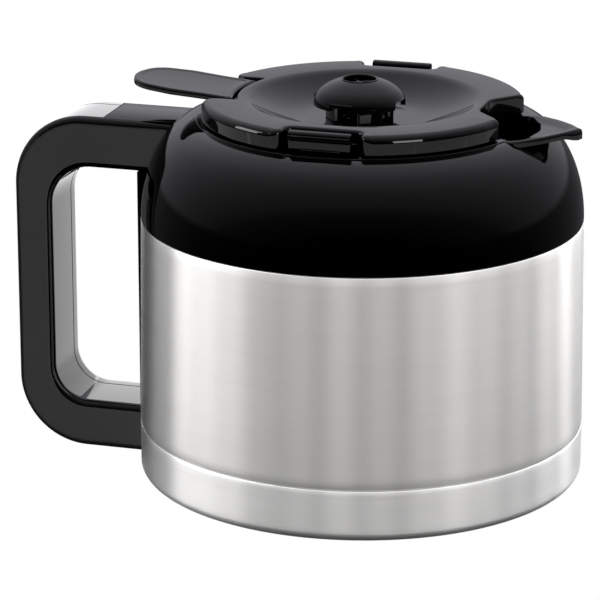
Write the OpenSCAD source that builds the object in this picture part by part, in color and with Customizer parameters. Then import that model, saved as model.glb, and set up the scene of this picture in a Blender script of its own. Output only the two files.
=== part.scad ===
// Insulated jug of a drip coffee maker, with its brew-through lid.
// Millimetres. The origin is on the jug's axis in the plane that it stands on,
// +Z is up, +X points to the spout and -X to the handle.

/* [Steel body] */
// Outside diameter of the steel body
body_d = 150; // [130:1:170]
// Height of the steel body, up to the collar
steel_h = 88.7; // [80:0.1:110]
// How far the steel wall leans in, on the radius, from its foot to its top edge
top_draw = 1; // [0:0.1:2]
// Thickness of the steel sheet
steel_t = 0.6; // [0.5:0.1:0.9]
// Width of the vacuum gap between the two steel walls
vacuum_gap = 7; // [5:0.5:9]
// Height of the inside floor of the jug
floor_h = 18.5; // [16:0.5:26]
// Distance from the collar's neck in to the inside of the steel mouth
mouth_set = 11.2; // [10.8:0.1:12]
// Rise of the steel mouth's edge above the steel body
mouth_rise = 23.3; // [21:0.1:25]

/* [Base] */
// Height of the base cup
base_h = 17.8; // [12:0.2:22]
// Width of the groove between the base cup and the body
groove_w = 0.5; // [0.3:0.1:1]
// Rounding of the bottom edge
base_edge_r = 3.2; // [2:0.1:5]
// Width of the steel rim that surrounds the recess in the base
base_rim_w = 6; // [4:0.5:10]
// Height of the recess in the base
base_recess = 1.6; // [1:0.1:3]
// Gap around the foot pad in its recess
foot_gap = 1; // [0.5:0.1:2]
// Clearance under the steel rim, which the foot pad holds off the table
foot_lift = 0.2; // [0.1:0.1:0.5]
// Radius of the sealing disc of the vacuum
vacuum_tip_r = 9; // [6:0.5:12]
// Thickness of the sealing disc of the vacuum
vacuum_tip_t = 1.6; // [1:0.1:2]

/* [Collar] */
// Height of the rounded shoulder
shoulder_h = 33.3; // [31:0.1:36]
// Radius of the collar where the shoulder meets the neck ring
neck_r = 54; // [53.5:0.1:56]
// Thickness of the collar's wall
collar_t = 2.5; // [2:0.1:3]
// Overhang of the neck ring
neck_ring_w = 1.3; // [0.8:0.1:2]
// Rise of the neck ring above the shoulder
neck_ring_h = 0.3; // [0.2:0.1:0.5]
// Thickness of the floor between the neck and the steel mouth
funnel_t = 1.7; // [1.2:0.1:2]
// Width of the gasket around the steel mouth
gasket_w = 1.9; // [1.5:0.1:2.5]
// Thickness of the ring that clamps the collar to the mouth
mouth_ring_t = 1.4; // [1:0.1:1.8]
// Depth of the mouth ring's sleeve inside the mouth
mouth_ring_h = 8; // [5:0.5:9]

/* [Spout] */
// Length of the spout beyond the collar's neck
spout_len = 20.6; // [16:0.1:26]
// Half width of the spout where it leaves the neck
spout_half_w = 19; // [17:0.5:20]
// Half width of the beak halfway along
beak_half_w = 16; // [12:0.1:17]
// Rounding of the spout's tip, in plan
beak_tip_r = 5; // [3:0.5:6]
// Thickness of the spout's lip
lip_t = 2; // [1.6:0.1:2.4]
// Depth of the shallow dish in the lip
lip_dish = 0.9; // [0.5:0.1:1.2]
// Upward slope of the spout's lip, in degrees
spout_slope = 4; // [2:0.5:6]
// Depth of the keel below the spout's lip
keel_h = 5; // [4:0.5:6]
// Length of the pouring port beyond the collar's neck
port_len = 5; // [4:0.5:6]
// Depth of the pouring port at its front, below the lip
port_h = 7; // [6:0.5:8]
// Radius of the drip nose under the tip
drip_nose_r = 1.7; // [1.4:0.1:2]
// Depth of the drip nose under the lip
drip_nose_h = 1; // [0.5:0.1:1.5]

/* [Handle] */
// Width of the finger gap, from the steel to the grip
finger_gap_w = 32.3; // [28:0.1:42]
// Distance of the handle's top below the top of the shoulder
handle_drop = 3.6; // [3:0.1:6]
// Height of the underside of the handle
handle_foot = 0.9; // [0.6:0.1:4]
// Width of the handle
handle_w = 26; // [22:0.5:32]
// Thickness of the grip, from front to back
grip_t = 12.2; // [9:0.1:14]
// Height of the handle's upper arm
bridge_h = 16.6; // [14:0.1:20]
// Height of the handle's lower arm
foot_h = 17.3; // [14:0.1:20]
// Rounding of the handle's upper corner
handle_top_r = 25; // [20:1:32]
// Rounding of the handle's lower corner
handle_foot_r = 24; // [20:1:30]
// Rounding of the finger gap's upper corner
gap_top_r = 13; // [8:0.5:15]
// Rounding of the finger gap's lower corner
gap_foot_r = 10; // [6:0.5:12]
// Wall of the handle's shells
handle_t = 2.5; // [2:0.1:3]
// Share of the width that the front shell takes
front_share = 0.77; // [0.6:0.01:0.8]
// Reach of the handle's top cap beyond the steel body
cap_len = 12.5; // [10:0.5:15]
// Thickness of the handle's top cap
cap_t = 3; // [2:0.1:4]
// Thickness of the strip along the steel inside the finger gap
strap_t = 1.2; // [1:0.1:2]
// Width of the two tongues that carry the handle
tongue_w = 15; // [10:0.5:17]
// Thickness of the two tongues that carry the handle
tongue_t = 5; // [4:0.5:6]
// Radius of the handle screws' shanks
screw_r = 1.5; // [1.2:0.1:1.6]
// Radius of the handle screws' heads
screw_head_r = 2.6; // [2.4:0.1:3]

/* [Lid] */
// How far the lid's edge lies inside the collar's neck
lid_inset = 0.2; // [0:0.1:0.5]
// Height of the lid's edge
lid_h = 6.4; // [6:0.1:8]
// Gap under the lid's edge
lid_gap = 0.5; // [0.3:0.1:1]
// Thickness of the lid's plate and walls
lid_t = 2; // [1.8:0.1:2.4]
// Rounding of the lid's upper edge
lid_edge_r = 1.5; // [1:0.1:1.8]
// Width of the lid's rim around the dish
rim_w = 12.8; // [12.4:0.1:13.5]
// Rounding of the dish's edge
dish_roll_r = 8; // [6:0.5:9]
// Slope of the dish at the foot of its rounded edge, in degrees
dish_slope = 31; // [24:1:33]
// Radius of the flat floor of the dish
dish_floor_r = 17.5; // [16.5:0.5:20]
// Half width of the slot for the lever
slot_half_w = 15.7; // [15.5:0.1:16.5]
// Width of the land between the dish and the lever's slot
slot_land = 0.6; // [0.5:0.1:1]
// Half width of the notches for the clips
notch_half_w = 13; // [12:0.5:14]
// Depth of the notches for the clips, from the lid's edge
notch_depth = 9; // [8.5:0.1:9.3]
// Width of the land between the dish and the bite
bite_land = 0.2; // [0:0.1:2]
// Rounding of the bite's inner end
bite_r = 8; // [6:0.5:9]
// Half width of the bite at the lid's edge
bite_half_w = 17.5; // [14:0.5:19]

/* [Plug] */
// Clearance between the plug and the neck
plug_gap = 1.1; // [0.8:0.1:1.3]
// Thickness of the plug's walls
plug_t = 2; // [1.6:0.1:2.2]
// Gap between the plug's lower cup and the mouth ring, which the seal closes
cup_gap = 1.8; // [1.6:0.1:3]
// Depth of the plug's lower cup, below the flange
cup_h = 12.3; // [11:0.1:13]
// Radius of the hole in the valve's seat
seat_r = 12; // [10:0.5:12.5]
// Height of the plug's seal
seal_h = 4; // [3:0.5:5]

/* [Drip dome] */
// Radius of the dome's rim
dome_r = 15.3; // [14.5:0.1:16]
// Rise of the dome's rim above the dish's floor
dome_lift = 5; // [4.5:0.1:6]
// Height of the dome from its rim to the edge of its hole
dome_h = 8.1; // [7:0.1:9]
// Radius of the drip hole
drip_r = 5.45; // [5:0.05:6]
// Thickness of the dome's wall
dome_t = 1.6; // [1.2:0.1:2]
// Width of the notches in the dome's rim
dome_notch_w = 8; // [5:0.5:9]
// Height of the notches in the dome's rim
dome_notch_h = 2.4; // [1:0.1:3]
// Turn of the dome's notches about the axis, in degrees
dome_turn = -9; // [-20:1:20]

/* [Lever] */
// Length of the lever's pad beyond the lid's edge
pad_len = 25.4; // [20:0.1:30]
// Half width of the lever's pad
lever_half_w = 14.6; // [14:0.1:18]
// Half width of the lever inside the slot
lever_neck_w = 15; // [14:0.1:15.2]
// Thickness of the lever's pad
lever_t = 2.2; // [2:0.1:3]
// Rise of the lever's pad above the lid
lever_rise = 0.2; // [0.1:0.1:1]
// Slope of the lever's pad, up towards its tip
lever_tilt = 4.5; // [0:0.5:6]
// Distance of the lever's pivot behind the slot's inner end
pivot_set = 3.9; // [3.4:0.1:4.4]
// Depth of the lever's pivot below the lid's top
pivot_drop = 5.6; // [5.4:0.1:6]
// Radius of the lever's pin
pin_r = 1.5; // [1.2:0.1:1.7]
// Half width of the lever's hub
hub_half_w = 12; // [11.6:0.1:12.2]
// Width of each of the fork's prongs
prong_w = 2.2; // [1.6:0.1:2.4]
// Height of the fork's prongs
prong_h = 2.6; // [2:0.1:3]

/* [Pour valve] */
// Outside radius of the valve's hollow stem
stem_r = 6.92; // [6.5:0.01:7.2]
// Bore radius of the valve's hollow stem
stem_bore_r = 5; // [4:0.1:5.4]
// Running clearance of the stem in the lid's guide
stem_gap = 0.08; // [0.04:0.01:0.1]
// Radius of the valve's disc
disc_r = 14.5; // [14:0.1:15]
// Thickness of the valve's disc
disc_t = 1.4; // [1.2:0.1:1.6]
// Thickness of the valve's seal
valve_seal_t = 1; // [0.8:0.1:1.2]
// Radius of the collar that the fork lifts
lift_ring_r = 11.4; // [11:0.1:11.8]
// Wire radius of the valve's spring
spring_wire_r = 0.45; // [0.35:0.05:0.5]

/* [Clips] */
// Half width of the clips' bars
bar_half_w = 10.3; // [9:0.1:11]
// Half width of the clips' stems
clip_half_w = 6.75; // [5.5:0.05:7.2]
// Thickness of the clips' stems
clip_t = 1.6; // [1.4:0.1:2]
// Height of the clips' pivot above the plug's flange
clip_pivot_h = 1.9; // [1.9:0.1:2.2]
// Distance of the clips' pivot inside the neck's bore
clip_pivot_set = 3.5; // [3.4:0.1:3.7]
// Radius of the clips' pins
clip_pin_r = 1; // [0.8:0.1:1.1]
// Overhang of the clips' noses behind the neck's ledge
nose_w = 1.4; // [1:0.1:1.5]

/* [Fits] */
// Clearance between pieces that move past each other
move_gap = 0.3; // [0.2:0.05:0.4]
// Clearance between pieces that stay together
seam = 0.1; // [0.05:0.05:0.15]
// Running clearance of pins in their hubs
pin_gap = 0.05; // [0.03:0.01:0.08]

/* [Hidden] */

// Round shapes that the exact rebuild turns into true circles.
round_fn = 96;
// Steps along each curved stretch of a section.
curve_n = 14;
// Steps around each rounded corner of an outline.
corner_n = 8;
// Steps along the curved stretches of walls that other pieces hide.
hidden_n = 6;
big = 400;

// Steel body.
body_r = body_d / 2;
mouth_r = neck_r - mouth_set;
top_r = body_r - top_draw;
cup_joint_z = base_h + groove_w;
shell_floor_z = 7;
sleeve_gap = 0.15;
sleeve_r = body_r - steel_t - sleeve_gap;
liner_r = body_r - steel_t - vacuum_gap;
mouth_z = steel_h + mouth_rise;
liner_neck_r = mouth_r + steel_t;
shell_neck_r = liner_neck_r + steel_t;
ledge_w = collar_t + 0.6;
liner_floor_r = 8;

// Collar and the pieces at the mouth.
neck_z = steel_h + shoulder_h;
ring_r = neck_r + neck_ring_w;
ring_z = neck_z + neck_ring_h;
bore_r = neck_r - collar_t;
spout_reach = neck_r + spout_len;
port_reach = neck_r + port_len;
funnel_z = mouth_z - seam;
shoulder_gap = 0.5;
shoulder_top_z = funnel_z - funnel_t - shoulder_gap;
neck_space = 2.7;
liner_drop = 2;
liner_rise = shoulder_top_z - steel_h + liner_drop;
liner_bend_z = shoulder_top_z - neck_space - liner_rise;
mouth_flange_w = 3;
gasket_r = shell_neck_r + gasket_w;
mouth_ring_z = mouth_z + seam / 2 + mouth_ring_t;
mouth_ring_r = mouth_r - 0.2;
mouth_ring_bore = mouth_ring_r - 1.4;

// Lid.
lid_r = neck_r - lid_inset;
dish_r = lid_r - rim_w;
slot_r = dish_r + slot_land;
notch_y = lid_r - notch_depth;
bite_x = dish_r + bite_land;
lid_z = ring_z + lid_gap;
lid_top_z = lid_z + lid_h;
roll_drop = dish_roll_r * (1 - cos(dish_slope));
roll_in = dish_roll_r * sin(dish_slope);
bowl_r = dish_r - roll_in;
bowl_drop = tan(dish_slope) * (bowl_r - dish_floor_r) / 2;
dish_z = lid_top_z - roll_drop - bowl_drop;
guide_r = stem_r + stem_gap;

// Plug.
cup_r = mouth_ring_bore - cup_gap;
flange_z = mouth_ring_z + move_gap;
flange_top = flange_z + plug_t;
cup_z = flange_z - cup_h;
seat_z = cup_z + plug_t;
plug_r = bore_r - plug_gap;

// Lever and valve.
lever_reach = lid_r + pad_len;
pivot_x = slot_r + pivot_set;
pivot_z = lid_top_z - pivot_drop;
hub_r = pin_r + 1.5;
ear_w = 2;
ear_r = 2.6;
ear_gap = 0.4;
clip_ear_w = 1.8;
clip_gap = 0.25;
clip_ear_set = 0.1;
clip_room = 2.3;
valve_z = seat_z + 0.1;
disc_z = valve_z + valve_seal_t;
disc_top = disc_z + disc_t;
prong_z = disc_top + 2.3 + prong_h / 2;
lift_z = prong_z + prong_h / 2 + move_gap;
lift_ring_t = 1.3;
slot_gap = 1.4;
lever_travel = 7;
valve_lift = pivot_x * sin(lever_travel) + (pivot_z - prong_z) * (1 - cos(lever_travel));
guide_z = lift_z + lift_ring_t + valve_lift + move_gap;
prong_y = stem_r + 1.5 + prong_w / 2;

// Clips.
clip_pivot_y = bore_r - clip_pivot_set;
clip_z = flange_z + clip_pivot_h;
clip_hub_r = clip_pin_r + 0.85;
clip_face_y = bore_r - 0.8;
ledge_t = 1.1;
nose_h = 1.6;
nose_gap = 0.7;
nose_z = ring_z - ledge_t - nose_gap - nose_h;
nose_half_w = 4;
coil_half_w = 2.6;
bar_z = lid_top_z - 2;
bar_top_z = lid_top_z + 0.3;

// Points of an outline whose corners [x, y, radius] are rounded.
function unit(v) = v / norm(v);
function corner_arc(a, b, c, r) =
    let (u = unit([a.x - b.x, a.y - b.y]), v = unit([c.x - b.x, c.y - b.y]),
         half = acos(max(-1, min(1, u * v))) / 2,
         centre = [b.x, b.y] + unit(u + v) * r / sin(half),
         p = [b.x, b.y] + u * r / tan(half), q = [b.x, b.y] + v * r / tan(half),
         start = atan2(p.y - centre.y, p.x - centre.x),
         end = atan2(q.y - centre.y, q.x - centre.x),
         sweep = end - start > 180 ? end - start - 360 : end - start < -180 ? end - start + 360 : end - start)
    [for (i = [0:corner_n]) centre + r * [cos(start + sweep * i / corner_n), sin(start + sweep * i / corner_n)]];
function rounded(pts) =
    [for (i = [0:len(pts) - 1])
        let (a = pts[(i + len(pts) - 1) % len(pts)], b = pts[i], c = pts[(i + 1) % len(pts)])
        each (b[2] > 0 ? corner_arc(a, b, c, b[2]) : [[b.x, b.y]])];

// Quarter ellipse from (r0 + a, z0) up to (r0, z0 + b), as [radius, height] points.
function quarter(r0, z0, a, b, n = curve_n) =
    [for (i = [0:n]) [r0 + a * cos(90 * i / n), z0 + b * sin(90 * i / n)]];
function backwards(pts) = [for (i = [len(pts) - 1:-1:0]) pts[i]];

// Upper surface of the lid's dish, lowered by drop, from its rim to its flat floor.
function dish_curve(drop) = concat(
    [for (i = [0:corner_n]) let (t = dish_slope * i / corner_n)
        [dish_r - dish_roll_r * sin(t), lid_top_z - dish_roll_r * (1 - cos(t)) - drop]],
    [for (i = [1:corner_n]) let (s = 1 - i / corner_n, w = bowl_r - dish_floor_r)
        [dish_floor_r + w * s, dish_z + tan(dish_slope) * w * s * s / 2 - drop]]);

module ring(r_out, r_in, z_low, z_high) {
    translate([0, 0, z_low]) difference() {
        cylinder(r = r_out, h = z_high - z_low, $fn = round_fn);
        translate([0, 0, -1]) cylinder(r = r_in, h = z_high - z_low + 2, $fn = round_fn);
    }
}

module rod_y(x, z, r, y_low, y_high) {
    translate([x, y_low, z]) rotate([-90, 0, 0]) cylinder(r = r, h = y_high - y_low, $fn = round_fn);
}

module rod_x(y, z, r, x_low, x_high) {
    translate([x_low, y, z]) rotate([0, 90, 0]) cylinder(r = r, h = x_high - x_low, $fn = round_fn);
}

// Coil of round wire about +Z, from z 0 to rise, its radius changing from r_low to r_high.
module coil(r_low, r_high, rise, wire_r, turns, sides = 8, per_turn = 16) {
    rings = turns * per_turn;
    points = [for (i = [0:rings]) let (t = i / rings, a = 360 * turns * t, r = r_low + (r_high - r_low) * t)
        for (k = [0:sides - 1]) let (b = 360 * k / sides)
            [(r + wire_r * cos(b)) * cos(a), (r + wire_r * cos(b)) * sin(a), rise * t + wire_r * sin(b)]];
    skin = [for (i = [0:rings - 1], k = [0:sides - 1]) let (m = (k + 1) % sides)
        [i * sides + k, i * sides + m, (i + 1) * sides + m, (i + 1) * sides + k]];
    low = [[for (k = [sides - 1:-1:0]) k]];
    high = [[for (k = [0:sides - 1]) rings * sides + k]];
    polyhedron(points = points, faces = concat(skin, low, high), convexity = 6);
}

// ---- Steel body ----

// Outer wall of the flask: floor, base sleeve and body, open at the top.
module outer_shell() {
    color("silver") rotate_extrude($fn = round_fn) polygon([
        [0, shell_floor_z], [sleeve_r, shell_floor_z], [sleeve_r, base_h], [body_r, cup_joint_z],
        [top_r, steel_h], [top_r - steel_t, steel_h], [body_r - steel_t, cup_joint_z + steel_t],
        [sleeve_r - steel_t, base_h + steel_t], [sleeve_r - steel_t, shell_floor_z + steel_t],
        [0, shell_floor_z + steel_t]]);
}

// Shoulder and neck of the outer wall, welded inside its top edge and hidden by the collar.
module shell_shoulder() {
    a = top_r - ledge_w - shell_neck_r;
    rise = shoulder_top_z - steel_h;
    color("silver") rotate_extrude($fn = round_fn) polygon(concat(
        [[top_r - steel_t, steel_h - steel_t], [top_r - steel_t, steel_h]],
        quarter(shell_neck_r, steel_h, a, rise, hidden_n),
        [[shell_neck_r, mouth_z], [liner_neck_r, mouth_z]],
        backwards(quarter(liner_neck_r, steel_h - steel_t, a, rise, hidden_n))));
}

// Inner wall of the flask with its floor, up to the bend of its shoulder.
module inner_liner() {
    corner_x = liner_r - liner_floor_r;
    function corner(r, z_low) = [for (i = [0:hidden_n]) let (t = 90 * i / hidden_n)
        [corner_x + r * sin(t), z_low + r * (1 - cos(t))]];
    color("gainsboro") rotate_extrude($fn = round_fn) polygon(concat(
        [[0, floor_h - steel_t]], corner(liner_floor_r, floor_h - steel_t),
        [[liner_r, liner_bend_z], [liner_r - steel_t, liner_bend_z]],
        backwards(corner(liner_floor_r - steel_t, floor_h)), [[0, floor_h]]));
}

// Shoulder and mouth of the inner wall, welded to the outer neck around the mouth.
module liner_neck() {
    a = liner_r - liner_neck_r;
    color("gainsboro") rotate_extrude($fn = round_fn) polygon(concat(
        quarter(liner_neck_r, liner_bend_z, a, liner_rise, hidden_n),
        [[liner_neck_r, mouth_z], [mouth_r, mouth_z]],
        backwards(quarter(mouth_r, liner_bend_z, a, liner_rise - steel_t, hidden_n))));
}

module vacuum_tip() {
    color("dimgray") translate([0, 0, shell_floor_z - vacuum_tip_t])
        cylinder(r = vacuum_tip_r, h = vacuum_tip_t, $fn = round_fn);
}

// Drawn steel cup around the foot of the flask, with a recess that takes the foot pad.
module base_cup() {
    r = base_edge_r;
    low = foot_lift;
    recess_r = body_r - r - base_rim_w;
    outside = [for (i = [0:corner_n]) let (t = 90 * i / corner_n)
        [body_r - r + r * sin(t), low + r * (1 - cos(t))]];
    inside = [for (i = [corner_n:-1:0]) let (t = 90 * i / corner_n, s = r - steel_t)
        [body_r - r + s * sin(t), low + r - s * cos(t)]];
    color("silver") rotate_extrude($fn = round_fn) polygon(concat(
        [[0, base_recess], [recess_r, base_recess], [recess_r + base_recess, low]],
        outside, [[body_r, base_h], [body_r - steel_t, base_h]], inside,
        [[recess_r + base_recess, low + steel_t], [recess_r, base_recess + steel_t], [0, base_recess + steel_t]]));
}

module base_foot() {
    color("#202022") cylinder(r = body_r - base_edge_r - base_rim_w - foot_gap, h = base_recess, $fn = round_fn);
}

// ---- Collar, spout and mouth ----

// Outside of the whole jug, grown by gap, which the handle's pieces stop at.
module jug_envelope(gap) {
    rotate_extrude($fn = round_fn) polygon(concat(
        [[0, -1], [body_r - base_edge_r + gap, -1],
         for (i = [0:corner_n]) let (t = 90 * i / corner_n)
            [body_r - base_edge_r + base_edge_r * sin(t) + gap, foot_lift + base_edge_r * (1 - cos(t))]],
        [[body_r + gap, cup_joint_z], [top_r + gap, steel_h]],
        quarter(neck_r + gap, steel_h, top_r - neck_r, shoulder_h),
        [[ring_r + gap, neck_z], [ring_r + gap, lid_z], [0, lid_z]]));
}

beak_x = (neck_r + spout_reach) / 2 - 3.3;
port_wall = 2;

// Plan of the spout's lip, drawn in by inset.
function beak_plan(inset) = rounded([
    [neck_r - 12, -spout_half_w + inset, 0], [neck_r - 3, -spout_half_w + inset, 0],
    [beak_x - inset / 2, -beak_half_w + inset, 9],
    [spout_reach + beak_tip_r / 2 - inset * 1.5, 0, beak_tip_r],
    [beak_x - inset / 2, beak_half_w - inset, 9],
    [neck_r - 3, spout_half_w - inset, 0], [neck_r - 12, spout_half_w - inset, 0]]);

// A slab over a plan, tilted to the slope of the lip, its underside depth below the lip's top.
module lip_slab(depth, thick) {
    translate([neck_r, 0, ring_z - depth]) rotate([0, -spout_slope, 0]) translate([-neck_r, 0, 0])
        linear_extrude(height = thick) children();
}

// Space that coffee runs through from the neck to the lip, grown by g on all sides.
module spout_port(g) {
    hull() {
        lip_slab(lip_t, lip_t + (g > 0 ? 0 : 3)) polygon([
            [neck_r - 8, -spout_half_w + 4 - g], [neck_r, -spout_half_w + 5 - g],
            [port_reach + g, -4 - g / 2], [port_reach + g, 4 + g / 2],
            [neck_r, spout_half_w - 5 + g], [neck_r - 8, spout_half_w - 4 + g]]);
        translate([bore_r - 2, 0, funnel_z + port_wall]) cube([1 + 2 * g, spout_half_w + 2 * g, 0.5 + 2 * g], center = true);
        translate([port_reach - 3, 0, ring_z - port_h]) sphere(r = 1 + g, $fn = 32);
    }
}

// Solid outside of the spout: its lip, the keel under it and the walls of the port.
module spout_outside() {
    lip_slab(lip_t, lip_t) polygon(beak_plan(0));
    hull() {
        lip_slab(lip_t + 0.2, 0.4) polygon(beak_plan(2.6));
        translate([neck_r + 8.5, 0, ring_z - keel_h]) sphere(r = 1.5, $fn = 32);
    }
    translate([spout_reach - drip_nose_r - 0.3, 0, ring_z - drip_nose_h - 0.8])
        cylinder(r = drip_nose_r, h = drip_nose_h + 1, $fn = round_fn);
    spout_port(port_wall);
}

// Tongue under the top cap that the handle is screwed to.
module upper_tongue() {
    difference() {
        translate([-tongue_x, -tongue_w / 2, upper_screw_z - tongue_t / 2])
            cube([tongue_x - neck_r - 6, tongue_w, tongue_t]);
        rod_y(-screw_x, upper_screw_z, screw_r + seam, -tongue_w, tongue_w);
        rotate_extrude($fn = round_fn) polygon(concat([[0, steel_h]],
            quarter(neck_r - 1, steel_h, top_r - neck_r, shoulder_h), [[0, neck_z]]));
    }
}

module collar() {
    color("#141416") difference() {
        union() {
            rotate_extrude($fn = round_fn) {
                polygon(concat(quarter(neck_r, steel_h + seam, top_r - neck_r, shoulder_h - seam),
                    backwards(quarter(neck_r, steel_h + seam, top_r - neck_r - collar_t,
                        shoulder_h - collar_t - seam))));
                translate([bore_r, funnel_z - funnel_t]) square([collar_t, ring_z - funnel_z + funnel_t]);
                translate([bore_r, neck_z - 1]) square([collar_t + neck_ring_w, 1 + neck_ring_h]);
                translate([gasket_r + seam / 2, funnel_z - funnel_t])
                    square([neck_r - gasket_r - seam, funnel_t]);
            }
            difference() {
                spout_outside();
                translate([0, 0, funnel_z - 9]) cylinder(r = bore_r, h = 30, $fn = round_fn);
            }
            upper_tongue();
        }
        spout_port(0);
        lip_slab(lip_dish, 3) polygon(beak_plan(1.6));
        // Pockets that the clips' noses catch in.
        for (side = [-1, 1])
            translate([-nose_half_w - 1, side > 0 ? bore_r - 2 : -bore_r + 2 - 2 - nose_w, nose_z - move_gap])
                cube([2 * nose_half_w + 2, 2 + nose_w, nose_h + nose_gap + move_gap]);
    }
}

module neck_gasket() {
    color("#3a3a3c") ring(gasket_r, shell_neck_r + seam / 2, funnel_z - funnel_t, mouth_z);
}

// Ring that clamps the collar's floor and closes the edge of the steel mouth.
module mouth_ring() {
    color("#1c1c1e") {
        ring(gasket_r + mouth_flange_w, mouth_ring_bore, mouth_ring_z - mouth_ring_t, mouth_ring_z);
        ring(mouth_ring_r, mouth_ring_bore, mouth_ring_z - mouth_ring_h, mouth_ring_z - mouth_ring_t / 2);
    }
}

// ---- Handle ----

split_y = -handle_w / 2 + front_share * handle_w;
gap_x = body_r + finger_gap_w;
handle_reach = gap_x + grip_t;
handle_top = neck_z - handle_drop;
gap_top = handle_top - bridge_h;
gap_bottom = handle_foot + foot_h;
cap_joint = body_r + cap_len;
screw_x = cap_joint - 8;
tongue_x = cap_joint - 3;
upper_screw_z = (gap_top + handle_top) / 2 - 1.5;
lower_screw_z = (gap_bottom + handle_foot) / 2;
grip_screw_z = (gap_top + gap_bottom) / 2;
grip_screw_x = handle_reach - grip_t / 2;
boss_r = screw_r + 1.3;
head_sink = 2;
screw_places = [[-screw_x, upper_screw_z], [-screw_x, lower_screw_z], [-grip_screw_x, grip_screw_z]];

// Side view of the handle, drawn in on all sides by inset.
module handle_outline(inset) {
    difference() {
        polygon(rounded([[-neck_r, handle_top - inset, 0], [-handle_reach + inset, handle_top - inset, handle_top_r - inset],
            [-handle_reach + inset, handle_foot + inset, handle_foot_r - inset], [-neck_r, handle_foot + inset, 0]]));
        polygon(rounded([[-neck_r + 1, gap_top + inset, 0], [-gap_x - inset, gap_top + inset, gap_top_r + inset],
            [-gap_x - inset, gap_bottom - inset, gap_foot_r + inset], [-neck_r + 1, gap_bottom - inset, 0]]));
    }
}

module handle_slice(inset, y_low, y_high) {
    translate([0, y_high, 0]) rotate([90, 0, 0]) linear_extrude(height = y_high - y_low) handle_outline(inset);
}

// Space of the top cap, grown by gap, between the handle's two cheeks.
module cap_space(gap) {
    translate([-cap_joint - gap, -handle_w, handle_top - cap_t - gap]) cube([big, 2 * handle_w, cap_t + 2 * gap + 1]);
}

module handle_front_shell() {
    color("#18181a") difference() {
        union() {
            difference() {
                handle_slice(0, -handle_w / 2, split_y - seam / 2);
                handle_slice(handle_t, -handle_w / 2 + handle_t, handle_w);
            }
            for (p = screw_places)
                rod_y(p.x, p.y, boss_r, -handle_w / 2 + handle_t / 2, p == screw_places[2] ? split_y - seam : -tongue_w / 2 - seam);
        }
        cap_space(seam);
        jug_envelope(seam);
        for (p = screw_places)
            rod_y(p.x, p.y, screw_r, -handle_w / 2 + handle_t, handle_w);
    }
}

module handle_rear_shell() {
    color("#18181a") difference() {
        union() {
            difference() {
                handle_slice(0, split_y + seam / 2, handle_w / 2);
                handle_slice(handle_t, -handle_w, handle_w / 2 - handle_t);
            }
            for (p = screw_places)
                rod_y(p.x, p.y, boss_r + 0.6, p == screw_places[2] ? split_y + seam : tongue_w / 2 + seam, handle_w / 2 - handle_t / 2);
        }
        cap_space(seam);
        jug_envelope(seam);
        for (p = screw_places) {
            rod_y(p.x, p.y, screw_r + seam, 0, handle_w);
            rod_y(p.x, p.y, screw_head_r + seam, handle_w / 2 - head_sink, handle_w);
        }
    }
}

module handle_top_cap() {
    color("#1c1c1e") difference() {
        intersection() {
            handle_slice(0, -handle_w / 2, handle_w / 2);
            cap_space(0);
        }
        jug_envelope(seam);
    }
}

// Thin strip that closes the handle's loop along the steel wall.
module handle_strap() {
    color("#18181a") intersection() {
        difference() {
            translate([0, 0, gap_bottom]) cylinder(r = body_r + strap_t, h = gap_top - gap_bottom, $fn = round_fn);
            jug_envelope(seam);
        }
        translate([-big, -handle_w / 2, 0]) cube([big, handle_w, big]);
    }
}

// Steel tongue welded to the base cup, which carries the handle's foot.
module lower_bracket() {
    color("gray") difference() {
        translate([-tongue_x, -tongue_w / 2, lower_screw_z - tongue_t / 2])
            cube([tongue_x - body_r + 4, tongue_w, tongue_t]);
        rod_y(-screw_x, lower_screw_z, screw_r + seam, -tongue_w, tongue_w);
        jug_envelope(0);
    }
}

module handle_screws() {
    head_y = handle_w / 2 - head_sink;
    head_t = 1.6;
    cross_w = 3;
    cross_t = 0.7;
    cross_h = 0.9;
    color("silver") for (p = screw_places) {
        rod_y(p.x, p.y, screw_r, -handle_w / 2 + handle_t + seam, head_y);
        difference() {
            rod_y(p.x, p.y, screw_head_r, head_y, head_y + head_t);
            for (slot = [[cross_w, cross_t], [cross_t, cross_w]])
                translate([p.x, head_y + head_t, p.y]) cube([slot[0], 2 * cross_h, slot[1]], center = true);
        }
    }
}

// ---- Lid ----

// Plans of the lid's openings, grown by g.
module slot_plan(g) {
    difference() {
        translate([-big, -slot_half_w - g]) square([big, 2 * slot_half_w + 2 * g]);
        circle(r = slot_r - g, $fn = round_fn);
    }
}

module notch_plan(g) {
    for (side = [-1, 1])
        translate([-notch_half_w - g, side > 0 ? notch_y - g : -big])
            square([2 * notch_half_w + 2 * g, big - notch_y + g]);
}

module bite_plan(g) {
    far = lid_r + 6;
    polygon(rounded([[bite_x - g, -bite_r * 0.9 - g / 2, bite_r + g / 2], [bite_x - g, bite_r * 0.9 + g / 2, bite_r + g / 2],
        [lid_r - 2, bite_half_w + g, 0], [far, bite_half_w + g + 4, 0], [far, -bite_half_w - g - 4, 0],
        [lid_r - 2, -bite_half_w - g, 0]]));
}

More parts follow.
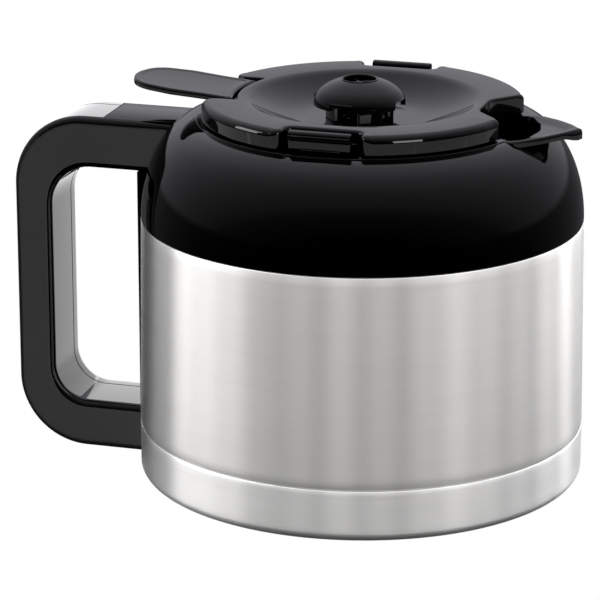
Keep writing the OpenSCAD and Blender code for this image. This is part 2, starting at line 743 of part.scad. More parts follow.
// Dish, rim and the walls that run down around the lid's edge and openings.
module lid_top() {
    color("#1e1e20") difference() {
        union() {
            rotate_extrude($fn = round_fn) {
                polygon(concat(
                    [for (i = [0:corner_n]) let (t = 90 * i / corner_n)
                        [lid_r - lid_edge_r + lid_edge_r * cos(t), lid_top_z - lid_edge_r + lid_edge_r * sin(t)]],
                    dish_curve(0), [[guide_r, dish_z], [guide_r, dish_z - lid_t]],
                    backwards(dish_curve(lid_t)), [[lid_r - lid_t, lid_top_z - lid_t], [lid_r - lid_t, lid_z], [lid_r, lid_z]]));
                translate([guide_r, guide_z]) square([lid_t, dish_z - guide_z]);
            }
            // Walls around the slot, the notches and the bite.
            translate([0, 0, lid_z]) linear_extrude(height = lid_h - lid_edge_r) intersection() {
                circle(r = lid_r - lid_t / 2, $fn = round_fn);
                union() {
                    notch_plan(lid_t);
                    bite_plan(lid_t);
                    difference() {
                        slot_plan(lid_t);
                        circle(r = plug_r + seam, $fn = round_fn);
                    }
                }
            }
            // Pockets that keep the clips out of the plug's chamber.
            translate([0, 0, flange_top + move_gap]) linear_extrude(height = lid_z - flange_top) intersection() {
                circle(r = plug_r - plug_t - 0.2, $fn = round_fn);
                notch_plan(lid_t);
            }
        }
        translate([0, 0, flange_z]) linear_extrude(height = big) {
            slot_plan(0);
            notch_plan(0);
            bite_plan(0);
        }
    }
}

// Lower half of the lid: flange, cup with the valve's seat, and the ears of the pivots.
module lid_plug() {
    lid_under = lid_top_z - lid_t - seam;
    color("#242426") difference() {
        union() {
            ring(plug_r, cup_r - plug_t, flange_z, flange_top);
            ring(cup_r, cup_r - plug_t, cup_z, flange_top);
            ring(cup_r, seat_r, cup_z, seat_z);
            difference() {
                ring(plug_r, plug_r - plug_t, flange_z, lid_under);
                translate([-big, -slot_half_w, flange_top + 2]) cube([big, 2 * slot_half_w, big]);
                translate([-notch_half_w - lid_t - seam, -big, flange_top]) cube([2 * (notch_half_w + lid_t + seam), 2 * big, big]);
                translate([0, -bite_half_w - 3, flange_top]) cube([big, 2 * bite_half_w + 6, big]);
            }
            // Ears of the lever's pin.
            for (side = [-1, 1])
                translate([-pivot_x - ear_r, side > 0 ? hub_half_w + ear_gap : -hub_half_w - ear_gap - ear_w, flange_z])
                    cube([2 * ear_r, ear_w, pivot_z + ear_r - flange_z]);
            // Ears of the clips' pins.
            for (side = [-1, 1], end = [-1, 1])
                translate([end > 0 ? clip_half_w + clip_gap : -clip_half_w - clip_gap - clip_ear_w,
                    side * (clip_pivot_y - clip_ear_set) - clip_ear_w, flange_z])
                    cube([clip_ear_w, 2 * clip_ear_w, clip_pivot_h + clip_ear_w]);
        }
        rod_y(-pivot_x, pivot_z, pin_r + seam / 4, -lid_r, lid_r);
        for (side = [-1, 1]) {
            rod_x(side * clip_pivot_y, clip_z, clip_pin_r + seam / 4, -lid_r, lid_r);
            translate([-clip_half_w - clip_gap, side > 0 ? clip_pivot_y - clip_room : -big - clip_pivot_y + clip_room, flange_z - 1])
                cube([2 * (clip_half_w + clip_gap), big, big]);
        }
    }
}

// Seal around the plug's cup, with a lip at its foot and one at its head.
module plug_seal() {
    foot_z = cup_z + 3;
    lip = 0.8;
    skin = 0.5;
    color("#5a5a5c") {
        ring(cup_r + skin, cup_r, foot_z, foot_z + seal_h);
        for (z = [foot_z, foot_z + seal_h - lip])
            ring(mouth_ring_bore - move_gap, cup_r, z, z + lip);
    }
}

// Mushroom cap over the dish's drain, on four fins, with a cross in its drip hole.
module drip_dome() {
    rim_z = dish_z + dome_lift;
    rise = dome_h / sqrt(1 - pow(drip_r / dome_r, 2));
    end_angle = acos(drip_r / dome_r);
    rib_t = 1;
    rib_h = 2;
    rib_drop = 0.7;
    fin_t = 1.6;
    fin_r = guide_r + 1.2;
    function shell_curve(inset) = [for (i = [0:curve_n]) let (t = end_angle * i / curve_n)
        [(dome_r - inset) * cos(t), rim_z + (rise - inset) * sin(t)]];
    color("#1a1a1c") {
        difference() {
            rotate_extrude($fn = round_fn) polygon(concat(
                [[dome_r, rim_z - 0.4]], shell_curve(0), [[drip_r, rim_z + dome_h - dome_t]],
                [for (p = backwards(shell_curve(dome_t))) if (p.x > drip_r) p], [[dome_r - dome_t, rim_z - 0.4]]));
            for (k = [0:3]) rotate([0, 0, dome_turn + 90 * k])
                translate([0, -dome_notch_w / 2, rim_z - 1]) cube([30, dome_notch_w, 1 + dome_notch_h - 0.4]);
        }
        intersection() {
            union() {
                for (k = [0:3]) rotate([0, 0, dome_turn + 45 + 90 * k])
                    translate([fin_r, -fin_t / 2, dish_z]) cube([dome_r - dome_t - fin_r, fin_t, dome_lift + 6]);
                for (k = [0, 1]) rotate([0, 0, dome_turn + 45 + 90 * k])
                    translate([-drip_r - 0.5, -rib_t / 2, rim_z + dome_h - rib_drop - rib_h]) cube([2 * drip_r + 1, rib_t, rib_h]);
            }
            rotate_extrude($fn = round_fn) polygon(concat([[0, dish_z], [dome_r - dome_t / 2, dish_z]],
                shell_curve(dome_t / 2), [[0, rim_z + dome_h - dome_t / 2]]));
        }
    }
}

// ---- Lever ----

module lever_plan() {
    x_neck = lid_r + 4;
    difference() {
        polygon(rounded([[-pivot_x + 8, -lever_neck_w, 0], [-lid_r + 2, -lever_neck_w, 6],
            [-x_neck - 5, -lever_half_w, 8], [-lever_reach + 3, -lever_half_w + 2, 10],
            [-lever_reach, -2, 12], [-lever_reach, 2, 12], [-lever_reach + 3, lever_half_w - 2, 10],
            [-x_neck - 5, lever_half_w, 8], [-lid_r + 2, lever_neck_w, 6], [-pivot_x + 8, lever_neck_w, 0]]));
        circle(r = slot_r + slot_gap, $fn = round_fn);
    }
}

module bar_xz(p, q, h, y_low, y_high) {
    angle = atan2(q[1] - p[1], q[0] - p[0]);
    translate([p[0], y_low, p[1]]) rotate([0, -angle, 0]) translate([0, 0, -h / 2])
        cube([norm(q - p), y_high - y_low, h]);
    rod_y(q[0], q[1], h / 2, y_low, y_high);
}

// Thumb lever: pad on top, hub on the pin, and a fork that lifts the valve.
module lever() {
    path = [[-pivot_x, pivot_z], [-pivot_x + 5.2, flange_top + prong_h / 2 + 1.1],
        [-cup_r + plug_t + 4.5, flange_top + prong_h / 2 + 0.9], [-disc_r - 2, prong_z], [0, prong_z]];
    pad_top = lid_top_z + lever_rise;
    color("#1e1e20") difference() {
        union() {
            translate([-pivot_x, 0, pad_top]) rotate([0, lever_tilt, 0]) translate([pivot_x, 0, -lever_t])
                linear_extrude(height = lever_t) lever_plan();
            rod_y(-pivot_x, pivot_z, hub_r, -hub_half_w, hub_half_w);
            translate([-pivot_x - hub_r, -hub_half_w, pivot_z])
                cube([1.5 * hub_r, 2 * hub_half_w, pad_top - lever_t / 2 - pivot_z]);
            for (side = [-1, 1], i = [0:len(path) - 2])
                bar_xz(path[i], path[i + 1], prong_h, side * prong_y - prong_w / 2, side * prong_y + prong_w / 2);
        }
        rod_y(-pivot_x, pivot_z, pin_r + pin_gap, -lid_r, lid_r);
    }
}

module lever_pin() {
    color("silver") rod_y(-pivot_x, pivot_z, pin_r, -hub_half_w - ear_gap - ear_w, hub_half_w + ear_gap + ear_w);
}

// ---- Pour valve ----

// Hollow stem that coffee drips through, with the valve's disc and the collar the fork lifts.
module pour_valve() {
    stem_top = dish_z - 0.4;
    color("#2c2c30") {
        ring(stem_r, stem_bore_r, disc_z, stem_top);
        ring(disc_r, stem_bore_r, disc_z, disc_top);
        ring(lift_ring_r, stem_bore_r, lift_z, lift_z + lift_ring_t);
        intersection() {
            for (k = [0, 1]) rotate([0, 0, 90 * k])
                translate([-stem_r, -0.5, stem_top - 3]) cube([2 * stem_r, 1, 2.6]);
            cylinder(r = (stem_r + stem_bore_r) / 2, h = big, $fn = round_fn);
        }
    }
}

module valve_seal() {
    color("#8a8a8c") ring(disc_r - 0.5, stem_bore_r, valve_z, disc_z);
}

module valve_spring() {
    low = lift_z + lift_ring_t + spring_wire_r + 0.05;
    high = dish_z - lid_t - spring_wire_r - 0.1;
    color("silver") translate([0, 0, low])
        coil(stem_r + 1.3, guide_r + lid_t + 1.2, high - low, spring_wire_r, 4);
}

// ---- Clips ----

// Squeeze clip on the side y < 0: bar, face and stem, with the nose under the neck's ledge.
module clip_shape() {
    y = -clip_face_y;
    bead_r = 1.3;
    bead_out = 0.7;
    bead_in = 0.1;
    face_out = 1.6;
    face_t = 2.4;
    face_z = lid_z + 0.8;
    bar_t = bar_top_z - bar_z - 1;
    root = 0.1;
    coil_h = 5.6;
    difference() {
        union() {
            translate([-clip_half_w, y, clip_z - 0.5]) cube([2 * clip_half_w, clip_t, bar_z - clip_z + 0.5]);
            translate([-bar_half_w, y - face_out, face_z]) cube([2 * bar_half_w, face_t, bar_z - face_z]);
            translate([-bar_half_w, y - bead_r - bead_out, bar_z]) cube([2 * bar_half_w, 2 * bead_r + bead_out + bead_in, bar_t]);
            for (out = [-bead_out, bead_in])
                rod_x(y + out, bar_top_z - bead_r, bead_r, -bar_half_w, bar_half_w);
            translate([-nose_half_w, y - nose_w - root, nose_z]) cube([2 * nose_half_w, nose_w + 2 * root, nose_h]);
            for (end = [-1, 1])
                rod_x(-clip_pivot_y, clip_z, clip_hub_r, end > 0 ? coil_half_w : -clip_half_w, end > 0 ? clip_half_w : -coil_half_w);
        }
        rod_x(-clip_pivot_y, clip_z, clip_pin_r + pin_gap, -lid_r, lid_r);
        translate([-coil_half_w, y + clip_t / 2, clip_z - coil_h / 2 - 0.2]) cube([2 * coil_half_w, coil_h, coil_h]);
    }
}

module clip_front() { color("#161618") clip_shape(); }

module clip_rear() { color("#161618") rotate([0, 0, 180]) clip_shape(); }

module clip_pins() {
    color("silver") for (side = [-1, 1])
        rod_x(side * clip_pivot_y, clip_z, clip_pin_r, -clip_half_w - clip_gap - clip_ear_w, clip_half_w + clip_gap + clip_ear_w);
}

// Small coil around each clip's pin that pushes the clip outwards.
module clip_springs() {
    wire = 0.25;
    color("gray") for (turn = [0, 180]) rotate([0, 0, turn])
        translate([-coil_half_w + 0.5, -clip_pivot_y, clip_z]) rotate([0, 90, 0])
            coil(clip_pin_r + wire + pin_gap, clip_pin_r + wire + pin_gap, 2 * coil_half_w - 1, wire, 5, 6, 12);
}

outer_shell();
shell_shoulder();
inner_liner();
liner_neck();
vacuum_tip();
base_cup();
base_foot();
collar();
neck_gasket();
mouth_ring();
lower_bracket();
handle_front_shell();
handle_rear_shell();
handle_top_cap();
handle_strap();
handle_screws();
lid_top();
lid_plug();
plug_seal();
drip_dome();
lever();
lever_pin();
pour_valve();
valve_seal();
valve_spring();
clip_front();
clip_rear();
clip_pins();
clip_springs();
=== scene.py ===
"""Looks of the insulated jug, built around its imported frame. Metres, in the frame of the CAD:
the origin is on the jug's axis where it stands, +X is the spout, -X the handle and +Z up.
Lengths in the sections are in millimetres, and MM turns them into metres."""

import math

import bmesh
import bpy
import numpy as np
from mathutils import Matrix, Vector


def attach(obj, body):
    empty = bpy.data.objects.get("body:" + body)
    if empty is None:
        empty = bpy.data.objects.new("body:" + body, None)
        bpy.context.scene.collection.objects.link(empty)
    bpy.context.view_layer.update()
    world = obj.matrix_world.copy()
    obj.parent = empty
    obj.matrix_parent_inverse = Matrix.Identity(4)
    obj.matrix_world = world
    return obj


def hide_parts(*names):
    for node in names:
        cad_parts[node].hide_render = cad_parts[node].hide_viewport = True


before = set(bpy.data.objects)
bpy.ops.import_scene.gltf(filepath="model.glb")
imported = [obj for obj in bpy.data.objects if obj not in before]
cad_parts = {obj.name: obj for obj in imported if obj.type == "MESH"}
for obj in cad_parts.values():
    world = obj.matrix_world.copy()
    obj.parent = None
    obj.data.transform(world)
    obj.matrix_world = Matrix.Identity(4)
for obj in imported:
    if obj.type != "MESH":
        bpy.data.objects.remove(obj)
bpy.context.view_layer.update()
MM = 0.001

# ---- Camera ----
# A long lens about 1.1 m from the jug and 17 degrees above it, seen from 15 degrees
# to the right of the jug's front.
CAMERA_PLACE = (277.33, -1008.81, 385.50)
CAMERA_AIM = (-20.06, -5.51, 58.48)
CAMERA_LENS = 194.9

camera = bpy.data.objects.new("camera", bpy.data.cameras.new("camera"))
bpy.context.scene.collection.objects.link(camera)
camera.location = Vector(CAMERA_PLACE) * MM
camera.rotation_euler = (Vector(CAMERA_AIM) - Vector(CAMERA_PLACE)).to_track_quat("-Z", "Y").to_euler()
camera.data.lens = CAMERA_LENS
camera.data.clip_start = 0.05
camera.data.dof.use_dof = False
bpy.context.scene.camera = camera


# ---- Studio ----
# A floor and a background that are white to the eye. The glossy black mirrors a dim sky, which is
# brightest high behind the jug. Light strips stand around the steel, and panels light the black.
class Wire:
    """A node's output that can be calculated with: each operator adds its Math node."""

    def __init__(self, tree, socket=None):
        self.tree, self.socket = tree, socket

    def node(self, kind, settings=None, inputs=None, output=0):
        """A new node of that type. Its settings are set first, a ramp's stops as (place, grey)
        pairs, and then its sockets' values or links."""
        made = self.tree.nodes.new(kind)
        for name, value in (settings or {}).items():
            if name == "stops":
                ramp = made.color_ramp
                while len(ramp.elements) < len(value):
                    ramp.elements.new(0.5)
                for element, (place, grey) in zip(ramp.elements, value):
                    element.position = place
                    element.color = (grey, grey, grey, 1)
            else:
                setattr(made, name, value)
        for name, value in (inputs or {}).items():
            if isinstance(value, Wire):
                self.tree.links.new(value.socket, made.inputs[name])
            else:
                made.inputs[name].default_value = value
        return Wire(self.tree, made.outputs[output] if made.outputs else None)

    def maths(self, operation, *values):
        """A Math node on those values."""
        return self.node("ShaderNodeMath", {"operation": operation}, dict(enumerate(values)))

    def __add__(self, other):
        return self.maths("ADD", self, other)

    def __mul__(self, other):
        return self.maths("MULTIPLY", self, other)

    __radd__ = __add__
    __rmul__ = __mul__


WHITE = (1, 1, 1, 1)
STUDIO_TINT = (0.96, 0.96, 1.04, 1)
TO_CAMERA = (0.265, -0.964, 0.0)
TO_LIGHT = (-0.17, 0.62, 0.766)

# The sky's glow by its direction, from 0, straight away from the light, to 1, straight towards it.
SKY_GLOW = [(0.25, 0.002), (0.34, 0.028), (0.42, 0.05), (0.5, 0.12), (0.62, 0.2), (0.7, 0.27),
            (0.78, 0.36), (0.86, 0.48), (0.92, 0.62), (1.0, 0.65)]

# The slopes between which the sky turns into the ground, and the share of the glow left there.
GROUND_BELOW, SKY_ABOVE, GROUND_SHARE = -0.04, 0.02, 0.3

world = bpy.data.worlds.new("studio")
world.use_nodes = True
world.node_tree.nodes.clear()
sky = Wire(world.node_tree)
direction = sky.node("ShaderNodeTexCoord", output="Generated")
towards = sky.node("ShaderNodeVectorMath", {"operation": "DOT_PRODUCT"},
                   {0: direction, 1: TO_LIGHT}, "Value")
glow = sky.node("ShaderNodeValToRGB", {"stops": SKY_GLOW}, {"Fac": towards * 0.5 + 0.5})
height = sky.node("ShaderNodeSeparateXYZ", inputs={0: direction}, output="Z")
ground = sky.node("ShaderNodeMapRange", inputs={
    "Value": height, "From Min": GROUND_BELOW, "From Max": SKY_ABOVE, "To Min": GROUND_SHARE})
seen = sky.node("ShaderNodeLightPath", output="Is Camera Ray")
plain = sky.node("ShaderNodeBackground", inputs={"Color": WHITE, "Strength": 1.0})
walls = sky.node("ShaderNodeBackground", inputs={"Color": STUDIO_TINT, "Strength": glow * ground})
both = sky.node("ShaderNodeMixShader", inputs={0: seen, 1: walls, 2: plain})
sky.node("ShaderNodeOutputWorld", inputs={"Surface": both})
bpy.context.scene.world = world
bpy.context.scene.view_settings.view_transform = "Standard"

# The floor is only there for the eye. Reflections and lights pass it, so panels can stand below it.
FLOOR_HALF = 3.0

floor_mesh = bpy.data.meshes.new("floor")
floor_mesh.from_pydata([(x * FLOOR_HALF, y * FLOOR_HALF, 0) for x, y in ((-1, -1), (1, -1), (1, 1), (-1, 1))],
                       [], [(0, 1, 2, 3)])
floor = bpy.data.objects.new("floor", floor_mesh)
bpy.context.scene.collection.objects.link(floor)
floor_paint = bpy.data.materials.new("pale floor")
floor_paint.use_nodes = True
floor_paint.node_tree.nodes.clear()
sheet = Wire(floor_paint.node_tree)
bright = sheet.node("ShaderNodeEmission", inputs={"Color": WHITE, "Strength": 1.0})
sheet.node("ShaderNodeOutputMaterial", inputs={"Surface": bright})
floor.visible_glossy = floor.visible_diffuse = floor.visible_shadow = False
floor_mesh.materials.append(floor_paint)

JUG_MIDDLE = Vector((0, 0, 0.07))


def softbox(name, azimuth, elevation, reach, width, tall, shine, lit):
    """A rectangular soft light that faces the jug's middle from reach metres away. Its azimuth is
    counted from the camera's side, to the right. Its power is its radiance, shine, times pi times
    its area. It lights only the pieces in the collection lit."""
    turn = math.radians(azimuth) + math.atan2(TO_CAMERA[1], TO_CAMERA[0])
    rise = math.radians(elevation)
    out = Vector((math.cos(turn) * math.cos(rise), math.sin(turn) * math.cos(rise), math.sin(rise)))
    place = JUG_MIDDLE + reach * out
    lamp = bpy.data.lights.new(name, "AREA")
    lamp.shape, lamp.size, lamp.size_y = "RECTANGLE", width, tall
    lamp.energy = shine * math.pi * width * tall
    made = bpy.data.objects.new(name, lamp)
    made.location = place
    made.rotation_euler = (JUG_MIDDLE - place).to_track_quat("-Z", "Y").to_euler()
    made.visible_camera = False
    made.light_linking.receiver_collection = lit
    bpy.context.scene.collection.objects.link(made)


steel_pieces, shells, low_lit, lid_lit = (
    bpy.data.collections.new(name)
    for name in ("steel pieces", "handle shells", "low lit pieces", "lid pieces"))

# Upright strips all around the steel, as (azimuth, radiance), and a row of panels from below.
STEEL_STRIPS = [
    (-122, 0.84), (-100, 3.5), (-83, 2.9), (-66, 2.3), (-48, 1.2), (-30, 1.4), (-10, 1.7), (10, 1.5),
    (30, 1.58), (48, 2.15), (66, 1.75), (85, 1.7), (105, 2.35), (125, 3.9), (145, 2.0), (165, 1.5),
    (188, 1.5), (213, 1.5)]
for azimuth, shine in STEEL_STRIPS:
    softbox(f"steel_strip_{azimuth}", azimuth, 25, 1.5, 0.47, 2.4, shine, steel_pieces)
for azimuth in range(-105, 96, 40):
    softbox(f"low_panel_{azimuth}", azimuth, -17, 1.0, 0.74, 0.45, 0.5, low_lit)

# Name, azimuth, elevation, width, height, radiance and what it lights.
for name, azimuth, elevation, width, tall, shine, lit in [
        ("cheek_panel", -31, -17, 1.6, 0.6, 0.8, shells),
        ("inner_panel", 149, -2, 1.0, 1.4, 1.65, shells),
        ("handle_back", 185, 8, 0.5, 0.6, 2.0, shells),
        ("streak_left", -87, 16, 0.38, 0.4, 4.0, lid_lit),
        ("streak_right", 31, 16, 0.36, 0.4, 4.0, lid_lit)]:
    softbox(name, azimuth, elevation, 1.0, width, tall, shine, lit)


# ---- Vacuum flask ----
# Two drawn stainless steel walls, welded at the mouth, with brushed lines around the body.
# The collar covers the shoulder and the neck; a drawn steel cup is pressed over the foot.
def skin(grid, loop=False, ends=False):
    """Points and quads over grid[row, column]: every row closes into a ring, the last row joins
    the first where loop is true, and ends closes the first and the last ring with a face."""
    rows, columns = grid.shape[:2]
    index = np.arange(rows * columns).reshape(rows, columns)
    index = np.concatenate([index, index[:, :1]], axis=1)
    if loop:
        index = np.concatenate([index, index[:1]], axis=0)
    quads = np.stack([index[:-1, :-1], index[:-1, 1:], index[1:, 1:], index[1:, :-1]], axis=-1)
    faces = quads.reshape(-1, 4).tolist()
    if ends:
        faces += [index[0, :columns][::-1].tolist(), index[-1, :columns].tolist()]
    return grid.reshape(-1, 3), faces


DOUBLE, SLIVER, FILL_NEAR = 2e-6, 1e-6, 0.0015


def piece(name, skins, finish, sharp=35, fills=()):
    """One object from several skins: double points merged, faces outward, smooth but for edges
    sharper than that many degrees. Each height in fills closes the open rims that are near it."""
    points, faces = np.zeros((0, 3)), []
    for more, extra in skins:
        faces += [[corner + len(points) for corner in face] for face in extra]
        points = np.concatenate([points, more])
    mesh = bpy.data.meshes.new(name)
    mesh.from_pydata((points * MM).tolist(), [], faces)
    work = bmesh.new()
    work.from_mesh(mesh)
    bmesh.ops.remove_doubles(work, verts=work.verts, dist=DOUBLE)
    bmesh.ops.dissolve_degenerate(work, edges=work.edges, dist=SLIVER)
    for height in fills:
        open_rim = [edge for edge in work.edges if edge.is_boundary
                    and all(abs(end.co.z - height * MM) < FILL_NEAR for end in edge.verts)]
        bmesh.ops.triangle_fill(work, use_beauty=True, edges=open_rim, normal=(0, 0, 1))
    bmesh.ops.recalc_face_normals(work, faces=work.faces)
    work.to_mesh(mesh)
    work.free()
    mesh.shade_smooth()
    mesh.set_sharp_from_angle(angle=math.radians(sharp))
    mesh.materials.append(finish)
    made = bpy.data.objects.new(name, mesh)
    bpy.context.scene.collection.objects.link(made)
    return made


def full_turn(steps):
    """Angles in equal steps once around."""
    return np.linspace(0, 2 * np.pi, steps, endpoint=False)


def lathe(profile, turn, heights=None):
    """A profile of (radius, height) points at each angle of turn: x and y are the radius times the
    angle's cosine and sine. Where heights[point, angle] is given, it is the z."""
    profile = np.asarray(profile, float)
    if heights is None:
        heights = np.repeat(profile[:, 1:], len(turn), axis=1)
    return np.stack([profile[:, :1] * np.cos(turn), profile[:, :1] * np.sin(turn), heights], axis=-1)


def turned(profile, steps=288):
    """A closed profile of (radius, height) points, turned about the Z axis."""
    return skin(lathe(profile, full_turn(steps)), loop=True)


def arc(centre, radius, start, end, steps=8):
    """Points on an ellipse: its centre plus its two radii times the cosine and the sine of angles
    in equal steps from start to end, in degrees. One radius stands for two equal ones."""
    angle = np.radians(np.linspace(start, end, steps + 1))
    reach = np.broadcast_to(radius, 2)
    return [(centre[0] + reach[0] * cosine, centre[1] + reach[1] * sine)
            for cosine, sine in zip(np.cos(angle), np.sin(angle))]


def brushed_steel(name, tint, grain):
    """Stainless steel with fine lines around the axis, which spread its gloss up and down: noise
    that is stretched around the axis, fine and coarse, shifts its colour, roughness and bump."""
    made = bpy.data.materials.new(name)
    made.use_nodes = True
    gloss = made.node_tree.nodes["Principled BSDF"]
    gloss.inputs["Metallic"].default_value = 1.0
    gloss.inputs["Anisotropic"].default_value = 0.8
    gloss.inputs["Anisotropic Rotation"].default_value = 0.25
    start = Wire(made.node_tree)
    place = start.node("ShaderNodeTexCoord", output="Object")
    lines = start.node("ShaderNodeMapping", inputs={"Vector": place, "Scale": (60, 60, 5200)})
    fine = start.node("ShaderNodeTexNoise",
                      inputs={"Vector": lines, "Scale": 1.0, "Detail": 3.0, "Roughness": 0.65})
    wide = start.node("ShaderNodeMapping", inputs={"Vector": place, "Scale": (16, 16, 900)})
    coarse = start.node("ShaderNodeTexNoise", inputs={"Vector": wide, "Scale": 1.0, "Detail": 2.0})
    streak = fine * 0.6 + coarse * 0.4
    shade = start.node("ShaderNodeMix", {"data_type": "RGBA"},
                       {0: streak, 6: (*(part * 0.86 for part in tint), 1), 7: (*tint, 1)}, 2)
    rough = 0.3 + streak * 0.14
    bump = start.node("ShaderNodeBump", inputs={"Strength": grain, "Distance": 0.00002, "Height": streak})
    for socket, value in (("Base Color", shade), ("Roughness", rough), ("Normal", bump)):
        made.node_tree.links.new(value.socket, gloss.inputs[socket])
    return made


# The wall tapers from the groove over the cup up to the collar. The cup hides its narrower foot.
BODY_R, TOP_R, FOOT_R, STEEL_T = 75.0, 74.0, 74.25, 0.6
STEEL_H, CUP_H, GROOVE, FLOOR_Z, ROLL = 88.7, 17.8, 0.5, 7.0, 0.25

steel_finish = brushed_steel("brushed steel", (0.69, 0.68, 0.67), 0.5)
taper = np.linspace((BODY_R, CUP_H + GROOVE + ROLL), (TOP_R, STEEL_H - 0.3), 24)[1:-1]
wall_profile = (
    [(0, FLOOR_Z), (FOOT_R, FLOOR_Z), (FOOT_R, CUP_H + GROOVE)]
    + arc((BODY_R - ROLL, CUP_H + GROOVE + ROLL), ROLL, -90, 0, 4)
    + taper.tolist()
    + arc((TOP_R - ROLL, STEEL_H - ROLL), ROLL, 0, 90, 4)
    + [(TOP_R - STEEL_T, STEEL_H), (BODY_R - STEEL_T, CUP_H + GROOVE + STEEL_T),
       (FOOT_R - STEEL_T, CUP_H), (FOOT_R - STEEL_T, FLOOR_Z + STEEL_T), (0, FLOOR_Z + STEEL_T)])
flask = piece("flask_outer_wall", [turned(wall_profile)], steel_finish)
steel_pieces.objects.link(flask)
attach(flask, "jug"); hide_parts("outer_shell")

# The cup ends just above the ground, and a recess in its floor holds the rubber pad.
EDGE_R, LOW, RING_R, RECESS_R, RECESS_Z, LIP_R = 3.2, 0.2, 67.4, 65.8, 1.6, 0.2

cup_profile = (
    [(0, RECESS_Z), (RECESS_R, RECESS_Z), (RING_R, LOW), (BODY_R - EDGE_R, LOW)]
    + arc((BODY_R - EDGE_R, LOW + EDGE_R), EDGE_R, -90, 0, 12)
    + [(BODY_R, z) for z in np.linspace(LOW + EDGE_R, CUP_H - LIP_R, 10)[1:-1]]
    + arc((BODY_R - LIP_R, CUP_H - LIP_R), LIP_R, 0, 90, 4)
    + [(BODY_R - STEEL_T, CUP_H)]
    + arc((BODY_R - EDGE_R, LOW + EDGE_R), EDGE_R - STEEL_T, 0, -90, 8)
    + [(RING_R, LOW + STEEL_T), (RECESS_R, RECESS_Z + STEEL_T), (0, RECESS_Z + STEEL_T)])
# The cup is the same steel as the wall. Its lighter tint is painted light, not a different steel.
cup_finish_painted_lighter = brushed_steel("brushed steel of the cup, painted lighter", (0.88, 0.87, 0.86), 0.5)
cup = piece("foot_cup", [turned(cup_profile)], cup_finish_painted_lighter)
steel_pieces.objects.link(cup)
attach(cup, "jug"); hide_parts("base_cup")


def dress(node, finish):
    """Gives a carried-over CAD node its material."""
    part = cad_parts[node]
    part.data.materials.clear()
    part.data.materials.append(finish)


satin_finish = brushed_steel("satin steel", (0.62, 0.62, 0.61), 0.2)
for node in ("shell_shoulder", "inner_liner", "liner_neck", "vacuum_tip", "lower_bracket"):
    dress(node, satin_finish)


# ---- Collar and spout ----
# One glossy black moulding: a rounded shoulder, a thin neck ring and a beak with a dished lip.
# A gasket and a clamping ring hold it to the steel mouth.
def moulded(name, shade, rough, ripple):
    """Injection-moulded plastic: cloudy noise shifts its colour and roughness a little, and fine
    noise ripples its surface."""
    made = bpy.data.materials.new(name)
    made.use_nodes = True
    gloss = made.node_tree.nodes["Principled BSDF"]
    gloss.inputs["IOR"].default_value = 1.52
    start = Wire(made.node_tree)
    place = start.node("ShaderNodeTexCoord", output="Object")
    cloud = start.node("ShaderNodeTexNoise", inputs={"Vector": place, "Scale": 45.0, "Detail": 2.0})
    grain = start.node("ShaderNodeTexNoise", inputs={"Vector": place, "Scale": 900.0, "Detail": 2.0})
    tone = start.node("ShaderNodeMix", {"data_type": "RGBA"},
                      {0: cloud, 6: (*(c * 0.8 for c in shade), 1), 7: (*(c * 1.2 for c in shade), 1)}, 2)
    dull = cloud * rough * 0.5 + rough * 0.75
    bump = start.node("ShaderNodeBump", inputs={"Strength": ripple, "Distance": 0.0001, "Height": grain})
    for socket, value in (("Base Color", tone), ("Roughness", dull), ("Normal", bump)):
        made.node_tree.links.new(value.socket, gloss.inputs[socket])
    return made


def rounded(corners, steps=10):
    """A closed outline through (x, y, radius) corners. Each radius is an arc that touches both
    sides: its centre lies on their bisector, the radius over the sine of half the angle away."""
    corners = np.asarray(corners, float)
    points = []
    for before, at, after in zip(np.roll(corners, 1, 0), corners, np.roll(corners, -1, 0)):
        back, on = before[:2] - at[:2], after[:2] - at[:2]
        back, on = back / np.hypot(*back), on / np.hypot(*on)
        half = math.acos(max(-1.0, min(1.0, float(back @ on)))) / 2
        if at[2] == 0 or math.pi / 2 - half < 0.01:
            points.append(at[:2])
            continue
        centre = at[:2] + (back + on) / np.hypot(*(back + on)) * at[2] / math.sin(half)
        first, last = at[:2] + back * at[2] / math.tan(half), at[:2] + on * at[2] / math.tan(half)
        start, end = (math.atan2(*(p - centre)[::-1]) for p in (first, last))
        sweep = (end - start + math.pi) % (2 * math.pi) - math.pi
        turn = start + sweep * np.linspace(0, 1, steps + 1)
        points += list(centre + at[2] * np.stack([np.cos(turn), np.sin(turn)], axis=-1))
    return np.array(points)


def mirrored(corners):
    """(x, y, radius) corners on the other side of the XZ plane, in reverse order."""
    return [(x, -y, r) for x, y, r in corners[::-1]]


def smooth(value, low, high):
    """0 below low and 1 above high; between them, 3 t squared minus 2 t cubed of the way t."""
    t = np.clip((value - low) / (high - low), 0, 1)
    return t * t * (3 - 2 * t)


black_gloss = moulded("glossy black plastic", (0.001, 0.001, 0.0011), 0.05, 0.004)
black_matt = moulded("fine matt black plastic", (0.012, 0.012, 0.013), 0.35, 0.05)

NECK_R, RING_Z, BORE_R, SEAT_Z = 54.0, 122.3, 51.5, STEEL_H + 0.1
SHOULDER, SHOULDER_INSIDE, INSIDE_R = (20, 33.2), (18, 30.6), NECK_R - 0.6
LEDGE_R, LEDGE_TOP, LEDGE_LOW = 46, 111.9, 110.2

